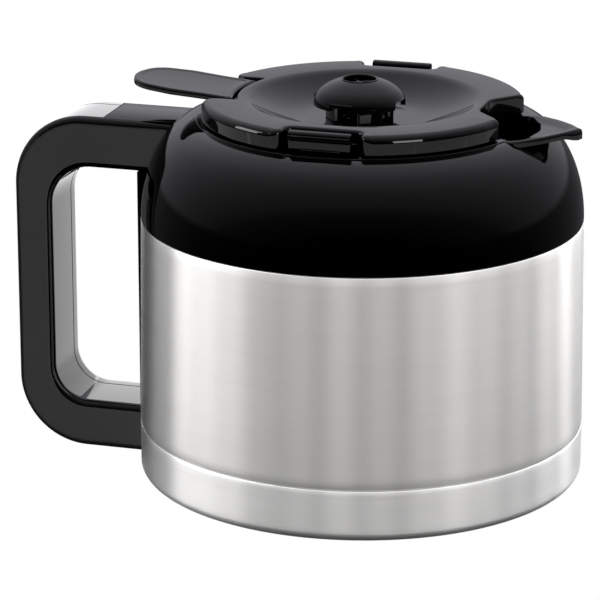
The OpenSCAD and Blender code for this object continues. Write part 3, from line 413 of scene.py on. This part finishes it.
# Over the shoulder and the ring's two edges, down the bore to the ledge, and back inside.
collar_profile = np.array(
    arc((NECK_R, SEAT_Z), SHOULDER, 1.5, 86.0, 60)
    + arc((55.05, 122.02), 0.25, -20, 90, 4) + arc((51.9, 121.9), 0.4, 90, 180, 4)
    + [(BORE_R, z) for z in (119, 116, 114)]
    + [(BORE_R, LEDGE_TOP), (LEDGE_R, LEDGE_TOP), (LEDGE_R, LEDGE_LOW), (INSIDE_R, LEDGE_LOW),
       (INSIDE_R, 118.4)]
    + arc((INSIDE_R, SEAT_Z), SHOULDER_INSIDE, 87, 0, 24)
    + [(73.6, SEAT_Z), (73.95, STEEL_H + 0.35)])

# The neck's wall is open over the port, down to the port's floor.
PORT_FLOOR, PORT_TURN, PORT_REACH, PORT_ABOVE = 113.9, 17.3, 60.3, 112

collar_turn = np.linspace(-np.pi, np.pi, 864, endpoint=False)
collar_r, collar_z = collar_profile[:, :1], collar_profile[:, 1:]
floor_here = np.where(np.abs(collar_turn) < math.radians(PORT_TURN), PORT_FLOOR, np.inf)
at_neck = (collar_r < PORT_REACH) & (collar_z > PORT_ABOVE)
cut_z = np.where(at_neck, np.minimum(collar_z, floor_here), collar_z)
collar = piece("collar_shoulder", [skin(lathe(collar_profile, collar_turn, cut_z), loop=True)], black_gloss)
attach(collar, "jug"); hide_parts("collar")

# The beak's outline, and its half width at places along it: even ones, then ones that crowd
# towards the tip.
SPOUT_TIP, RIM_LOW, TIP_RUN, EVEN_FROM, EVEN_TO = 74.2, 121.3, 8.6, 50.5, 66
LIP_SLOPE = math.tan(math.radians(4))
BEAK_SIDE = [(64.2, 12.3, 30), (56.2, 18.9, 3), (42, 18.9, 0)]

lip_plan = rounded(mirrored(BEAK_SIDE) + [(SPOUT_TIP + 0.9, 0, 3)] + BEAK_SIDE, 16)
far_side = lip_plan[lip_plan[:, 1] >= 0]
far_side = far_side[np.argsort(far_side[:, 0])]
along = np.concatenate([np.linspace(EVEN_FROM, EVEN_TO, 64)[:-1],
                        SPOUT_TIP - TIP_RUN * (1 - np.sin(np.linspace(0, np.pi / 2, 40)))])
half = np.interp(along, far_side[:, 0], far_side[:, 1])
half[-1] = 0.0
lip = RING_Z + (along - NECK_R) * LIP_SLOPE

# Across the spout: the top from the near rim to the far one, and the underside back again.
# Top: a shallow dish inside a round rim, and the port's steep walls down to its sloping floor.
# The beak's sides run askew, so a way across it counts for 0.78 of itself as one from the edge.
ACROSS, ASKEW, DISH_DEEP, PORT_STEEP, FLOOR_RISE, RIM_ROUND = 81, 0.78, 0.9, 3.4, 1.6, 0.5

share = np.sin(np.linspace(-np.pi / 2, np.pi / 2, ACROSS))
top_y = half[:, None] * share
from_edge = (half[:, None] - np.abs(top_y)) * ASKEW
dished = DISH_DEEP * smooth(from_edge, 0.5, 7.0) * smooth(SPOUT_TIP - along, 1.0, 6.0)[:, None]
port_half = np.interp(along, [50, 54, 58.3, 60.2], [16.8, 16.2, 9.0, 0.0])[:, None]
inside = np.minimum(port_half - np.abs(top_y), (60.0 - along[:, None]) * 1.2)
floor_z = PORT_FLOOR + FLOOR_RISE * smooth(along, 51, 59)[:, None]
port_z = PORT_STEEP * np.clip(inside, 0, 20) * smooth(inside, 0, 0.5)
top_z = np.maximum(lip[:, None] - dished - port_z, floor_z)
round_r = 1.1 + 1.2 * smooth(along, 69, 73)[:, None]
top_z -= round_r * (1 - np.sqrt(1 - (1 - np.clip(from_edge / round_r, 0, 1)) ** 2))
under_y = top_y[:, ::-1]
edge = (half[:, None] - np.abs(under_y)) * ASKEW
under_z = (RIM_LOW + RIM_ROUND - RIM_ROUND * smooth(edge, 0, 0.9)
           - 0.3 * edge * smooth(SPOUT_TIP - along, 0, 3)[:, None])
under_z = np.where(edge < 1e-6, RIM_LOW + RIM_ROUND, np.minimum(under_z, top_z[:, ::-1] - 1.2))
spout_x = np.repeat(along[:, None], ACROSS, axis=1)
spout_grid = np.concatenate([np.stack([spout_x, top_y, top_z], axis=-1),
                             np.stack([spout_x, under_y, under_z], axis=-1)], axis=1)

# A small nose under the tip makes the last drop fall.
nose_points, nose_faces = turned([(0, 0)] + arc((0.35, 0.9), 0.9, -90, 0, 6)
                                 + arc((0.4, 2.1), 0.85, 0, 90, 6) + [(0, 2.95)], 48)
nose = (nose_points + (SPOUT_TIP - 1.9, 0, 119.6), nose_faces)
spout = piece("spout_beak", [skin(spout_grid, ends=True), nose], black_gloss, 40)
low_lit.objects.link(spout)
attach(spout, "jug")

seal_grey = moulded("grey silicone", (0.05, 0.05, 0.052), 0.45, 0.03)
for node in ("neck_gasket", "plug_seal", "valve_seal"):
    dress(node, seal_grey)
for node in ("mouth_ring", "lid_plug"):
    dress(node, black_matt)
dress("pour_valve", black_gloss)

# ---- Handle ----
# A hollow loop of two glossy shells, whose flat cheeks are satin, screwed together from the rear.
# A plate next to the collar is let into its top, and a thin strip runs along the steel.
black_satin = moulded("satin black plastic", (0.022, 0.022, 0.024), 0.36, 0.03)
HALF_W, SPLIT_Y, BEVEL, CAP_X, CAP_HALF, CAP_T, CAP_POINTS = 13.0, 7.02, 2.6, -87.5, 10.4, 1.3, 30

# The jug's wall as the handle meets it: heights and radii, the shoulder's radii and the ring.
WALL_Z, WALL_R = [0.2, 1.2, 3.4, 18, 88.7], [71.8, 74.0, 75, 75, 74]
SHOULDER_OUT, SHOULDER_UP, RING_FROM, RING_SIDE_R = 20, 33.3, 121.9, 55.4


def envelope(x, y, z, gap=0.1):
    """The x of a point, kept out of the jug: no more than minus the root of the wall's radius at
    that height, plus the gap, squared, less y squared."""
    wall = np.interp(z, WALL_Z, WALL_R)
    shoulder = NECK_R + SHOULDER_OUT * np.sqrt(np.clip(1 - ((z - STEEL_H) / SHOULDER_UP) ** 2, 0, 1))
    wall = np.where(z > STEEL_H, np.where(z > RING_FROM, RING_SIDE_R, shoulder), wall)
    return np.minimum(x, -np.sqrt(np.clip((wall + gap) ** 2 - y ** 2, 0, None)))


def loop_line(top_z, bottom_z, reach, top_r, foot_r, start, end):
    """One edge of the handle's side view, from the collar over the grip to the foot: straight
    lines that two quarter circles join."""
    upper = np.linspace((start, top_z), (CAP_X + 0.06, top_z), CAP_POINTS)
    outer = np.linspace((CAP_X - 0.06, top_z), (-reach + top_r, top_z), 6)
    grip = np.linspace((-reach, top_z - top_r), (-reach, bottom_z + foot_r), 24)
    foot = np.linspace((-reach + foot_r, bottom_z), (end, bottom_z), 40)
    high = arc((-reach + top_r, top_z - top_r), top_r, 90, 180, 26)[1:-1]
    low = arc((-reach + foot_r, bottom_z + foot_r), foot_r, 180, 270, 26)[1:-1]
    return np.concatenate([upper, outer, high, grip, low, foot])


outer_line = loop_line(top_z=118.4, bottom_z=0.9, reach=119.5, top_r=25, foot_r=24, start=-60, end=-66)
inner_line = loop_line(top_z=100.8, bottom_z=17.5, reach=106.4, top_r=14.2, foot_r=11.8, start=-66, end=-70)
cap_seat = np.where(np.arange(len(outer_line)) < CAP_POINTS, CAP_T, 0.0)[:, None]


def handle_shell(y_free, y_split):
    """The loop's section at each place along it: a rectangle from the outer line to the inner
    one, with rounded edges on its free side, crisp ones at the seam and a seat for the cap."""
    across = inner_line - outer_line
    into = across / np.hypot(*across.T)[:, None]
    outward = 1 if y_free > y_split else -1
    bend = np.linspace(0, math.pi / 2, 9)

    # Each row is its inset from a line, its y, and 0 for the outer line or 1 for the inner one.
    rows = [(BEVEL * (1 - math.cos(a)), y_free - outward * BEVEL * (1 - math.sin(a)), 0) for a in bend]
    rows += [(BEVEL + 0.6, y_free, 0), (BEVEL + 0.6, y_free, 1)]
    rows += [(BEVEL * (1 - math.sin(a)), y_free - outward * BEVEL * (1 - math.cos(a)), 1) for a in bend]
    rows += [(0, y_split + outward * 0.25, 1), (0.25, y_split, 1), (cap_seat + 0.25, y_split, 0),
             (cap_seat, y_split + outward * 0.25, 0), (cap_seat, outward * CAP_HALF, 0),
             (0, outward * CAP_HALF, 0)]
    grid = []
    for inset, y, from_inner in rows:
        place = inner_line - into * inset if from_inner else outer_line + into * inset
        height = place[:, 1]
        grid.append(np.stack([envelope(place[:, 0], y, height), np.full(len(height), y), height], axis=-1))
    return skin(np.stack(grid, axis=1), ends=True)


def satin_cheeks(made, y):
    """Gives the flat faces at that y, and the grip's round outer edge, the satin finish."""
    made.data.materials.append(black_satin)
    centre = np.array([face.center[:] for face in made.data.polygons])
    normal = np.array([face.normal[:] for face in made.data.polygons])
    off_cheek = np.abs(centre[:, 1] - y * MM)
    flat = (np.abs(normal[:, 1]) > 0.98) & (off_cheek < 0.0001)
    grip_side = (normal[:, 0] < -0.2) & (normal[:, 2] < 0.4)
    foot_side = (normal[:, 2] < -0.2) & (centre[:, 2] < 0.015)
    edge = (off_cheek < BEVEL * MM) & (grip_side | foot_side)
    made.data.polygons.foreach_set("material_index", (flat | edge).astype(np.int32))


for name, node, free, split in (("handle_front", "handle_front_shell", -HALF_W, SPLIT_Y - 0.05),
                                ("handle_rear", "handle_rear_shell", HALF_W, SPLIT_Y + 0.05)):
    shell = piece(name, [handle_shell(free, split)], black_gloss, 30)
    satin_cheeks(shell, free)
    shells.objects.link(shell)
    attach(shell, "jug"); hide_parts(node)

# The cap: a flat section with rounded upper edges, from its rounded outer end to the collar.
CAP_LOW, CAP_TOP = 117.2, 118.4

cap_x = np.concatenate([[CAP_X + 0.1, CAP_X + 0.13, CAP_X + 0.25],
                        np.linspace(CAP_X + 0.4, -58, 60)])[:, None]
cap_drop = np.concatenate([[0.25, 0.1, 0.02], np.zeros(60)])[:, None]
cap_edge = [(CAP_HALF - 0.1, CAP_LOW), (CAP_HALF - 0.1, 118.15), (CAP_HALF - 0.17, 118.33),
            (CAP_HALF - 0.35, CAP_TOP)]
cap_rows = np.array([(-CAP_HALF + 0.1, CAP_LOW)] + cap_edge + [(-y, z) for y, z in cap_edge[:0:-1]])
cap_y = np.broadcast_to(cap_rows[:, 0], (len(cap_x), len(cap_rows)))
cap_z = cap_rows[:, 1] - cap_drop * (cap_rows[:, 1] > 118)
cap_grid = np.stack([envelope(cap_x + 0 * cap_y, cap_y, cap_z), cap_y, cap_z], axis=-1)
cap = piece("handle_cap", [skin(cap_grid, ends=True)], black_gloss, 30)
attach(cap, "jug"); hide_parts("handle_top_cap")

# The strip: its inner face (0) lies on the jug's wall, its outer one (1) on a cylinder about the
# jug's axis.
STRIP_LOW, STRIP_HIGH, STRIP_R, STRIP_EDGE, STRIP_GAP = 17.6, 100.7, 76.2, 0.4, 0.05

strap_z = np.linspace(STRIP_LOW, STRIP_HIGH, 90)[:, None]
outer_y = np.linspace(HALF_W - 2 * STRIP_EDGE, -HALF_W + 2 * STRIP_EDGE, 23)
strap_rows = np.array([(y, 0) for y in np.linspace(-HALF_W, HALF_W, 25)]
                      + [(HALF_W, 1), (HALF_W - STRIP_EDGE, 1)] + [(y, 1) for y in outer_y]
                      + [(-HALF_W + STRIP_EDGE, 1), (-HALF_W, 1)])
strap_y = np.broadcast_to(strap_rows[:, 0], (len(strap_z), len(strap_rows)))
outer_r = STRIP_R - STRIP_EDGE * np.clip(1 - (HALF_W - np.abs(strap_y)) / STRIP_EDGE, 0, 1)
outer_x = -np.sqrt(outer_r ** 2 - strap_y ** 2)
inner_x = envelope(np.zeros(strap_y.shape), strap_y, strap_z + 0 * strap_y, STRIP_GAP)
strap_x = np.where(strap_rows[:, 1] > 0, outer_x, np.maximum(inner_x, outer_x + 0.2))
strap_grid = np.stack([strap_x, strap_y, strap_z + 0 * strap_y], axis=-1)
strap = piece("handle_strip", [skin(strap_grid, ends=True)], black_gloss, 30)
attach(strap, "jug"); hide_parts("handle_strap")

# ---- Lid ----
# A glossy moulding: a dish with a drain for the dripping coffee, in a rounded rim that is open
# around the lever, the two clips and the bite over the spout. Thin walls run down inside.
LID_R, LID_Z, LID_TOP, UNDER_Z, GUIDE_R = 53.8, 122.8, 129.2, 126.4, 7.0


def round_edge(radius, start, end, count=18):
    """Corners on a circle about the axis, from one angle to another in degrees."""
    angle = np.radians(np.linspace(start, end, count))
    return [(radius * math.cos(a), radius * math.sin(a), 0) for a in angle]


def notch(sign):
    """The corners of a clip's notch in the rim: the far one with 1, the near one with -1."""
    return [(sign * 13, sign * 52.2, 2.5), (sign * 13, sign * 44.8, 3), (-sign * 13, sign * 44.8, 3),
            (-sign * 13, sign * 52.2, 2.5)]


def spaced(outline, step):
    """The same closed outline with points about that far apart along it."""
    closed = np.concatenate([outline, outline[:1]])
    length = np.concatenate([[0], np.cumsum(np.hypot(*np.diff(closed, axis=0).T))])
    count = int(length[-1] / step)
    place = np.linspace(0, length[-1], count, endpoint=False)
    return np.stack([np.interp(place, length, closed[:, k]) for k in (0, 1)], axis=-1)


def inward(outline):
    """Unit vectors from each point of a counterclockwise outline to its inside: the way from the
    point before to the one after, turned left."""
    ahead = np.roll(outline, -1, 0) - np.roll(outline, 1, 0)
    return np.stack([-ahead[:, 1], ahead[:, 0]], axis=-1) / np.hypot(*ahead.T)[:, None]


def blurred(values, width):
    """A running mean along a closed row of values."""
    return sum(np.roll(values, k) for k in range(-width, width + 1)) / (2 * width + 1)


def raised(outline, into, rows):
    """Rings around an outline, one for each row of (inset, height): the outline's points moved
    inward by the inset, at that height. Each is one number or one for each point."""
    return np.stack([np.concatenate([outline + into * np.reshape(inset, (-1, 1)),
                                     np.broadcast_to(np.reshape(height, (-1, 1)), (len(outline), 1))], axis=1)
                     for inset, height in rows])


def rolled(r, top, steps):
    """Rows of a rounded upper edge: a quarter circle of radius r from the side up to the top."""
    return [(r * (1 - math.cos(a)), top - r * (1 - math.sin(a))) for a in np.linspace(0, math.pi / 2, steps)]


LEVER_SLOT = [(-51.46, 15.7, 4.5), (-38.5, 15.7, 0.7)]
SLOT_END = round_edge(41.6, 160, 200, 30)
BITE = [(41.2, 7.2, 8), (50.7, 18.0, 2)]
EDGE_STEP = 0.6

corners = (BITE[1:] + round_edge(LID_R, 27, 69) + notch(1) + round_edge(LID_R, 111, 155.5)
           + LEVER_SLOT + SLOT_END + mirrored(LEVER_SLOT)
           + round_edge(LID_R, 204.5, 249) + notch(-1) + round_edge(LID_R, 291, 333)
           + mirrored(BITE) + BITE[:1])
edge_line = spaced(rounded(corners), EDGE_STEP)
into = inward(edge_line)

# The upper edge's radius: at the slot's end, the rim, the slot, the bite and the notches.
radius = np.hypot(*edge_line.T)
places = [radius < 41.7, radius > 53.2, edge_line[:, 0] < -38, edge_line[:, 0] > 40.5]
fillet = blurred(np.select(places, [0.5, 2.5, 0.6, 0.9], 1.2), 4)
wall_rows = [(2.6, UNDER_Z), (1.8, LID_Z), (0.3, LID_Z), (0.0, LID_Z + 0.3)] + rolled(fillet, LID_TOP, 9)

# The dish: a rolled edge, a slope that flattens as a parabola towards the drain, and the guide of
# the valve's stem in its middle. Its underside is 2 mm lower.
DISH_R, DISH_ROLL, DISH_RUN, DRAIN_R, DRAIN_Z, GUIDE_LOW, DISH_T = 41, 8, 19.38, 17.5, 122.23, 118.4, 2
DISH_SLOPE = 31

dish = ([(DISH_R - 0.8, LID_TOP - 0.04)]
        + [(DISH_R - DISH_ROLL * math.sin(a), LID_TOP - DISH_ROLL * (1 - math.cos(a)))
           for a in np.radians(np.linspace(8, DISH_SLOPE, 12))]
        + [(DRAIN_R + DISH_RUN * s, DRAIN_Z + math.tan(math.radians(DISH_SLOPE)) * DISH_RUN * s * s / 2)
           for s in np.linspace(1, 0, 30)[1:]])
dish_rows = (dish + [(12, DRAIN_Z), (GUIDE_R + 0.2, DRAIN_Z), (GUIDE_R, DRAIN_Z - 0.18), (GUIDE_R, GUIDE_LOW),
                     (9, GUIDE_LOW), (9, 120.2)]
             + [(r, z - DISH_T) for r, z in dish[::-1] if 12 < r < 38] + [(38, UNDER_Z)])
lid = piece("lid_dish", [skin(raised(edge_line, into, wall_rows)), skin(lathe(dish_rows, full_turn(288)))],
            black_gloss, 40, fills=(LID_TOP, UNDER_Z))
low_lit.objects.link(lid)
lid_lit.objects.link(lid)
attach(lid, "lid"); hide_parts("lid_top")


# ---- Drip dome ----
# A small mushroom cap over the drain, moulded in glossy black, on four fins. Its rim has four
# notches that coffee runs in under, and its drip hole holds a cross.
def rounded_block(low, high, r, steps=4):
    """A block with all its edges rounded: a ball of radius r, moved apart to the eight corners."""
    low, high = np.asarray(low, float), np.asarray(high, float)
    quarter = np.linspace(0, np.pi / 2, steps + 1)
    rise = np.concatenate([quarter - np.pi / 2, quarter])[:, None]
    spin = np.concatenate([quarter + k * np.pi / 2 for k in range(4)])
    ball = np.stack([np.cos(rise) * np.cos(spin), np.cos(rise) * np.sin(spin),
                     np.sin(rise) + 0 * spin], axis=-1)
    quadrant = np.repeat(np.arange(4), steps + 1)
    east, north = np.isin(quadrant, (0, 3)), np.isin(quadrant, (0, 1))
    up = np.repeat([False, True], steps + 1)[:, None]
    grid = np.stack([np.where(side, high[k] - r, low[k] + r) + r * ball[..., k]
                     for k, side in enumerate((east, north, up))], axis=-1)
    return skin(grid, ends=True)


def spun(shell, degrees):
    """The same skin turned about the Z axis: its points times the matrix of that turn."""
    a = math.radians(degrees)
    turn = np.array([[math.cos(a), -math.sin(a), 0], [math.sin(a), math.cos(a), 0], [0, 0, 1]])
    return shell[0] @ turn.T, shell[1]


DOME_R, DOME_RIM, DOME_TOP, DOME_RISE, DOME_T, HOLE_R = 15.3, 127.23, 135.33, 8.04, 1.6, 5.45
DOME_SHIFT = (-1.1, 0, 0)
RIM_DROP, HOLE_ROUND = 0.4, 0.5

# Its top follows an ellipse up to the drip hole, and the inner surface lies a wall's thickness
# under it.
rise = DOME_RISE / math.sqrt(1 - (HOLE_R / DOME_R) ** 2)
stop = math.degrees(math.acos(HOLE_R / DOME_R))
dome_profile = np.array(
    [(DOME_R, DOME_RIM - RIM_DROP), (DOME_R, DOME_RIM - 0.1)]
    + arc((0, DOME_RIM), (DOME_R, rise), 0, stop - 2, 24)
    + arc((HOLE_R + HOLE_ROUND, DOME_TOP - 0.45), HOLE_ROUND, 70, 180, 5)
    + [(HOLE_R, DOME_TOP - DOME_T)]
    + arc((0, DOME_RIM), (DOME_R - DOME_T, rise - DOME_T), stop - 5, 0, 20)
    + [(DOME_R - DOME_T, DOME_RIM - RIM_DROP)])

# Four notches lift the rim, each with sides that rise between two angles from its middle.
NOTCH_TURN, NOTCH_SIDES, NOTCH_H = 9, (14.6, 15.8), 2.4

dome_turn = full_turn(720)
off_notch = np.abs((np.degrees(dome_turn) + NOTCH_TURN + 45) % 90 - 45)
lift = DOME_RIM - RIM_DROP + NOTCH_H * (1 - smooth(off_notch, *NOTCH_SIDES))
dome_grid = lathe(dome_profile, dome_turn, np.maximum(dome_profile[:, 1:], lift))

FIN_TURN = 36
fin = rounded_block((8.3, -4.0, DRAIN_Z), (10.6, 4.0, DOME_RIM + 3.4), 0.25)
cross_bar = rounded_block((-HOLE_R - 0.5, -0.35, DOME_TOP - 2.9), (HOLE_R + 0.5, 0.35, DOME_TOP - 1.1), 0.2)
parts = ([skin(dome_grid, loop=True)] + [spun(fin, FIN_TURN + 90 * k) for k in range(4)]
         + [spun(cross_bar, FIN_TURN + 90 * k) for k in range(2)])
dome = piece("drip_cap", [(points + DOME_SHIFT, faces) for points, faces in parts], black_gloss, 45)
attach(dome, "lid"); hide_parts("drip_dome")

# ---- Lever ----
# One glossy moulding: a thumb pad with a raised border around a shallow dish, a hub on a steel
# pin between two ears of the plug, and a fork that lifts the valve.
PAD_SIDE = [(-79.2, 2, 12), (-76.2, 12, 10), (-62.8, 14, 8), (-51.8, 13.2, 6)]
PAD_TOP, PAD_T, PAD_DISH, BORDER_R, PAD_TILT, TILT_X = 129.2, 2.1, 0.24, 0.9, 5, -45.0

pad_back = round_edge(-43.0, -17.9, 17.9, 24)
pad = spaced(rounded(mirrored(PAD_SIDE) + PAD_SIDE + pad_back)[::-1], EDGE_STEP)
pad_into = inward(pad)
for _ in range(3):
    pad_into = (np.roll(pad_into, 1, 0) + pad_into + np.roll(pad_into, -1, 0)) / 3
pad_into /= np.hypot(*pad_into.T)[:, None]
pad_rows = ([(0.5, PAD_TOP - PAD_T), (0.1, PAD_TOP - PAD_T + 0.15), (0, PAD_TOP - PAD_T + 0.4)]
            + rolled(BORDER_R, PAD_TOP, 8)
            + [(1.6, PAD_TOP), (2.0, PAD_TOP - 0.06), (2.5, PAD_TOP - 0.2), (3.0, PAD_TOP - PAD_DISH)])
lever = [skin(raised(pad, pad_into, pad_rows))]


def bar(start, end, thick, y_low, y_high):
    """A bar with rounded edges between two points of the XZ plane, from one y to another: a block
    along X, turned to that way and moved to the first point."""
    start, end = np.asarray(start, float), np.asarray(end, float)
    length = np.hypot(*(end - start))
    points, faces = rounded_block((-thick / 2, y_low, -thick / 2),
                                  (length + thick / 2, y_high, thick / 2), 0.3)
    cosine, sine = (end - start) / length
    return np.stack([start[0] + points[:, 0] * cosine - points[:, 2] * sine, points[:, 1],
                     start[1] + points[:, 0] * sine + points[:, 2] * cosine], axis=-1), faces


# Two prongs in four lengths each, from the hub under the dish's edge to the valve's stem.
PIVOT = (-45.5, 123.6)
FORK = [PIVOT, (-40.3, 118.15), (-32.9, 117.95), (-16.5, 109.55), (0, 109.55)]
PRONG_Y, PRONG_HALF, PRONG_H = 9.52, 1.1, 2.6
HUB = np.array([(1.55, -12), (2.8, -12), (3.0, -11.8), (3.0, 11.8), (2.8, 12), (1.55, 12)])

for side in (-1, 1):
    lever += [bar(a, b, PRONG_H, side * PRONG_Y - PRONG_HALF, side * PRONG_Y + PRONG_HALF)
              for a, b in zip(FORK[:-1], FORK[1:])]
hub_turn = full_turn(48)
hub = np.stack([PIVOT[0] + HUB[:, :1] * np.cos(hub_turn), HUB[:, 1:] + 0 * hub_turn,
                PIVOT[1] + HUB[:, :1] * np.sin(hub_turn)], axis=-1)
web = rounded_block((-48.4, -11.6, 126.0), (-43.6, 11.6, PAD_TOP - PAD_T + 0.6), 0.3)
lever += [skin(hub, loop=True), web]
thumb = piece("thumb_lever", lever, black_gloss, 40, fills=(PAD_TOP - PAD_DISH, PAD_TOP - PAD_T))

# The pad rises towards its tip: each point of it is lifted by the slope times its way along X
# from TILT_X, which is next to the pivot.
spots = np.empty(3 * len(thumb.data.vertices), np.float32)
thumb.data.vertices.foreach_get("co", spots)
spots = spots.reshape(-1, 3).astype(float)
slope = (TILT_X * MM - spots[:, 0]) * math.tan(math.radians(PAD_TILT))
spots[:, 2] += np.where(spots[:, 2] > (PAD_TOP - PAD_T - 0.05) * MM, slope, 0)
thumb.data.vertices.foreach_set("co", spots.astype(np.float32).ravel())
thumb.data.update()
low_lit.objects.link(thumb)
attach(thumb, "lever"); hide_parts("lever")

# ---- Clips ----
# Two squeeze clips: a rounded bar for the finger, a panel under it and a narrower stem down to
# the hub on its pin, with a nose that catches under the neck's ledge.
CLIP_Y, BAR_TOP, BAR_R, BAR_HALF = 50.7, 129.5, 1.3, 10.3
STEM_HALF, NOSE_HALF, PIN_Y, PIN_Z, PIN_HUB_R, SPRING_HALF = 6.75, 4, -48, 115.65, 1.85, 2.6


def round_bar(y, z, r, x_low, x_high):
    """A bar along X with rounded ends: rings around (y, z), whose radius shrinks at both ends."""
    rings = np.array([(0, x_low), (r - 0.4, x_low), (r - 0.1, x_low + 0.1), (r, x_low + 0.45),
                      (r, x_high - 0.45), (r - 0.1, x_high - 0.1), (r - 0.4, x_high), (0, x_high)])
    turn = full_turn(32)
    return skin(np.stack([rings[:, 1:] + 0 * turn, y + rings[:, :1] * np.cos(turn),
                          z + rings[:, :1] * np.sin(turn)], axis=-1))


# Two bars side by side, the panel, the web behind the bars, the stem, the nose and two hubs.
clip_parts = [
    round_bar(-CLIP_Y - 0.7, BAR_TOP - BAR_R, BAR_R, -BAR_HALF, BAR_HALF),
    round_bar(-CLIP_Y + 0.1, BAR_TOP - BAR_R, BAR_R, -BAR_HALF, BAR_HALF),
    rounded_block((-BAR_HALF, -CLIP_Y - 1.6, 123.6), (BAR_HALF, -CLIP_Y + 0.8, BAR_TOP - 2.3), 0.4),
    rounded_block((-9.9, -CLIP_Y - 1.3, BAR_TOP - 2.9), (9.9, -CLIP_Y + 0.9, BAR_TOP - 1.2), 0.3),
    rounded_block((-STEM_HALF, -CLIP_Y, 115.2), (STEM_HALF, -CLIP_Y + 1.6, 127.2), 0.3),
    rounded_block((-NOSE_HALF, -CLIP_Y - 1.4, 118.9), (NOSE_HALF, -CLIP_Y + 0.4, 120.5), 0.3),
    round_bar(PIN_Y, PIN_Z, PIN_HUB_R, -STEM_HALF, -SPRING_HALF),
    round_bar(PIN_Y, PIN_Z, PIN_HUB_R, SPRING_HALF, STEM_HALF)]
for name, body, half_turn in (("clip_near", "clip_front", 0), ("clip_far", "clip_rear", 180)):
    clip = piece(name, [spun(part, half_turn) for part in clip_parts], black_gloss, 40)
    low_lit.objects.link(clip)
    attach(clip, body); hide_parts(body)

# ---- Small parts ----
# A rubber pad, pressed into the cup's floor, that the jug stands on. The screws, the pins and the
# springs are stainless steel: turned, cut from rod and wound from wire.
foot_rubber = moulded("foot rubber", (0.02, 0.02, 0.021), 0.7, 0.2)
dress("base_foot", foot_rubber)
for node in ("handle_screws", "lever_pin", "valve_spring", "clip_pins", "clip_springs"):
    dress(node, satin_finish)
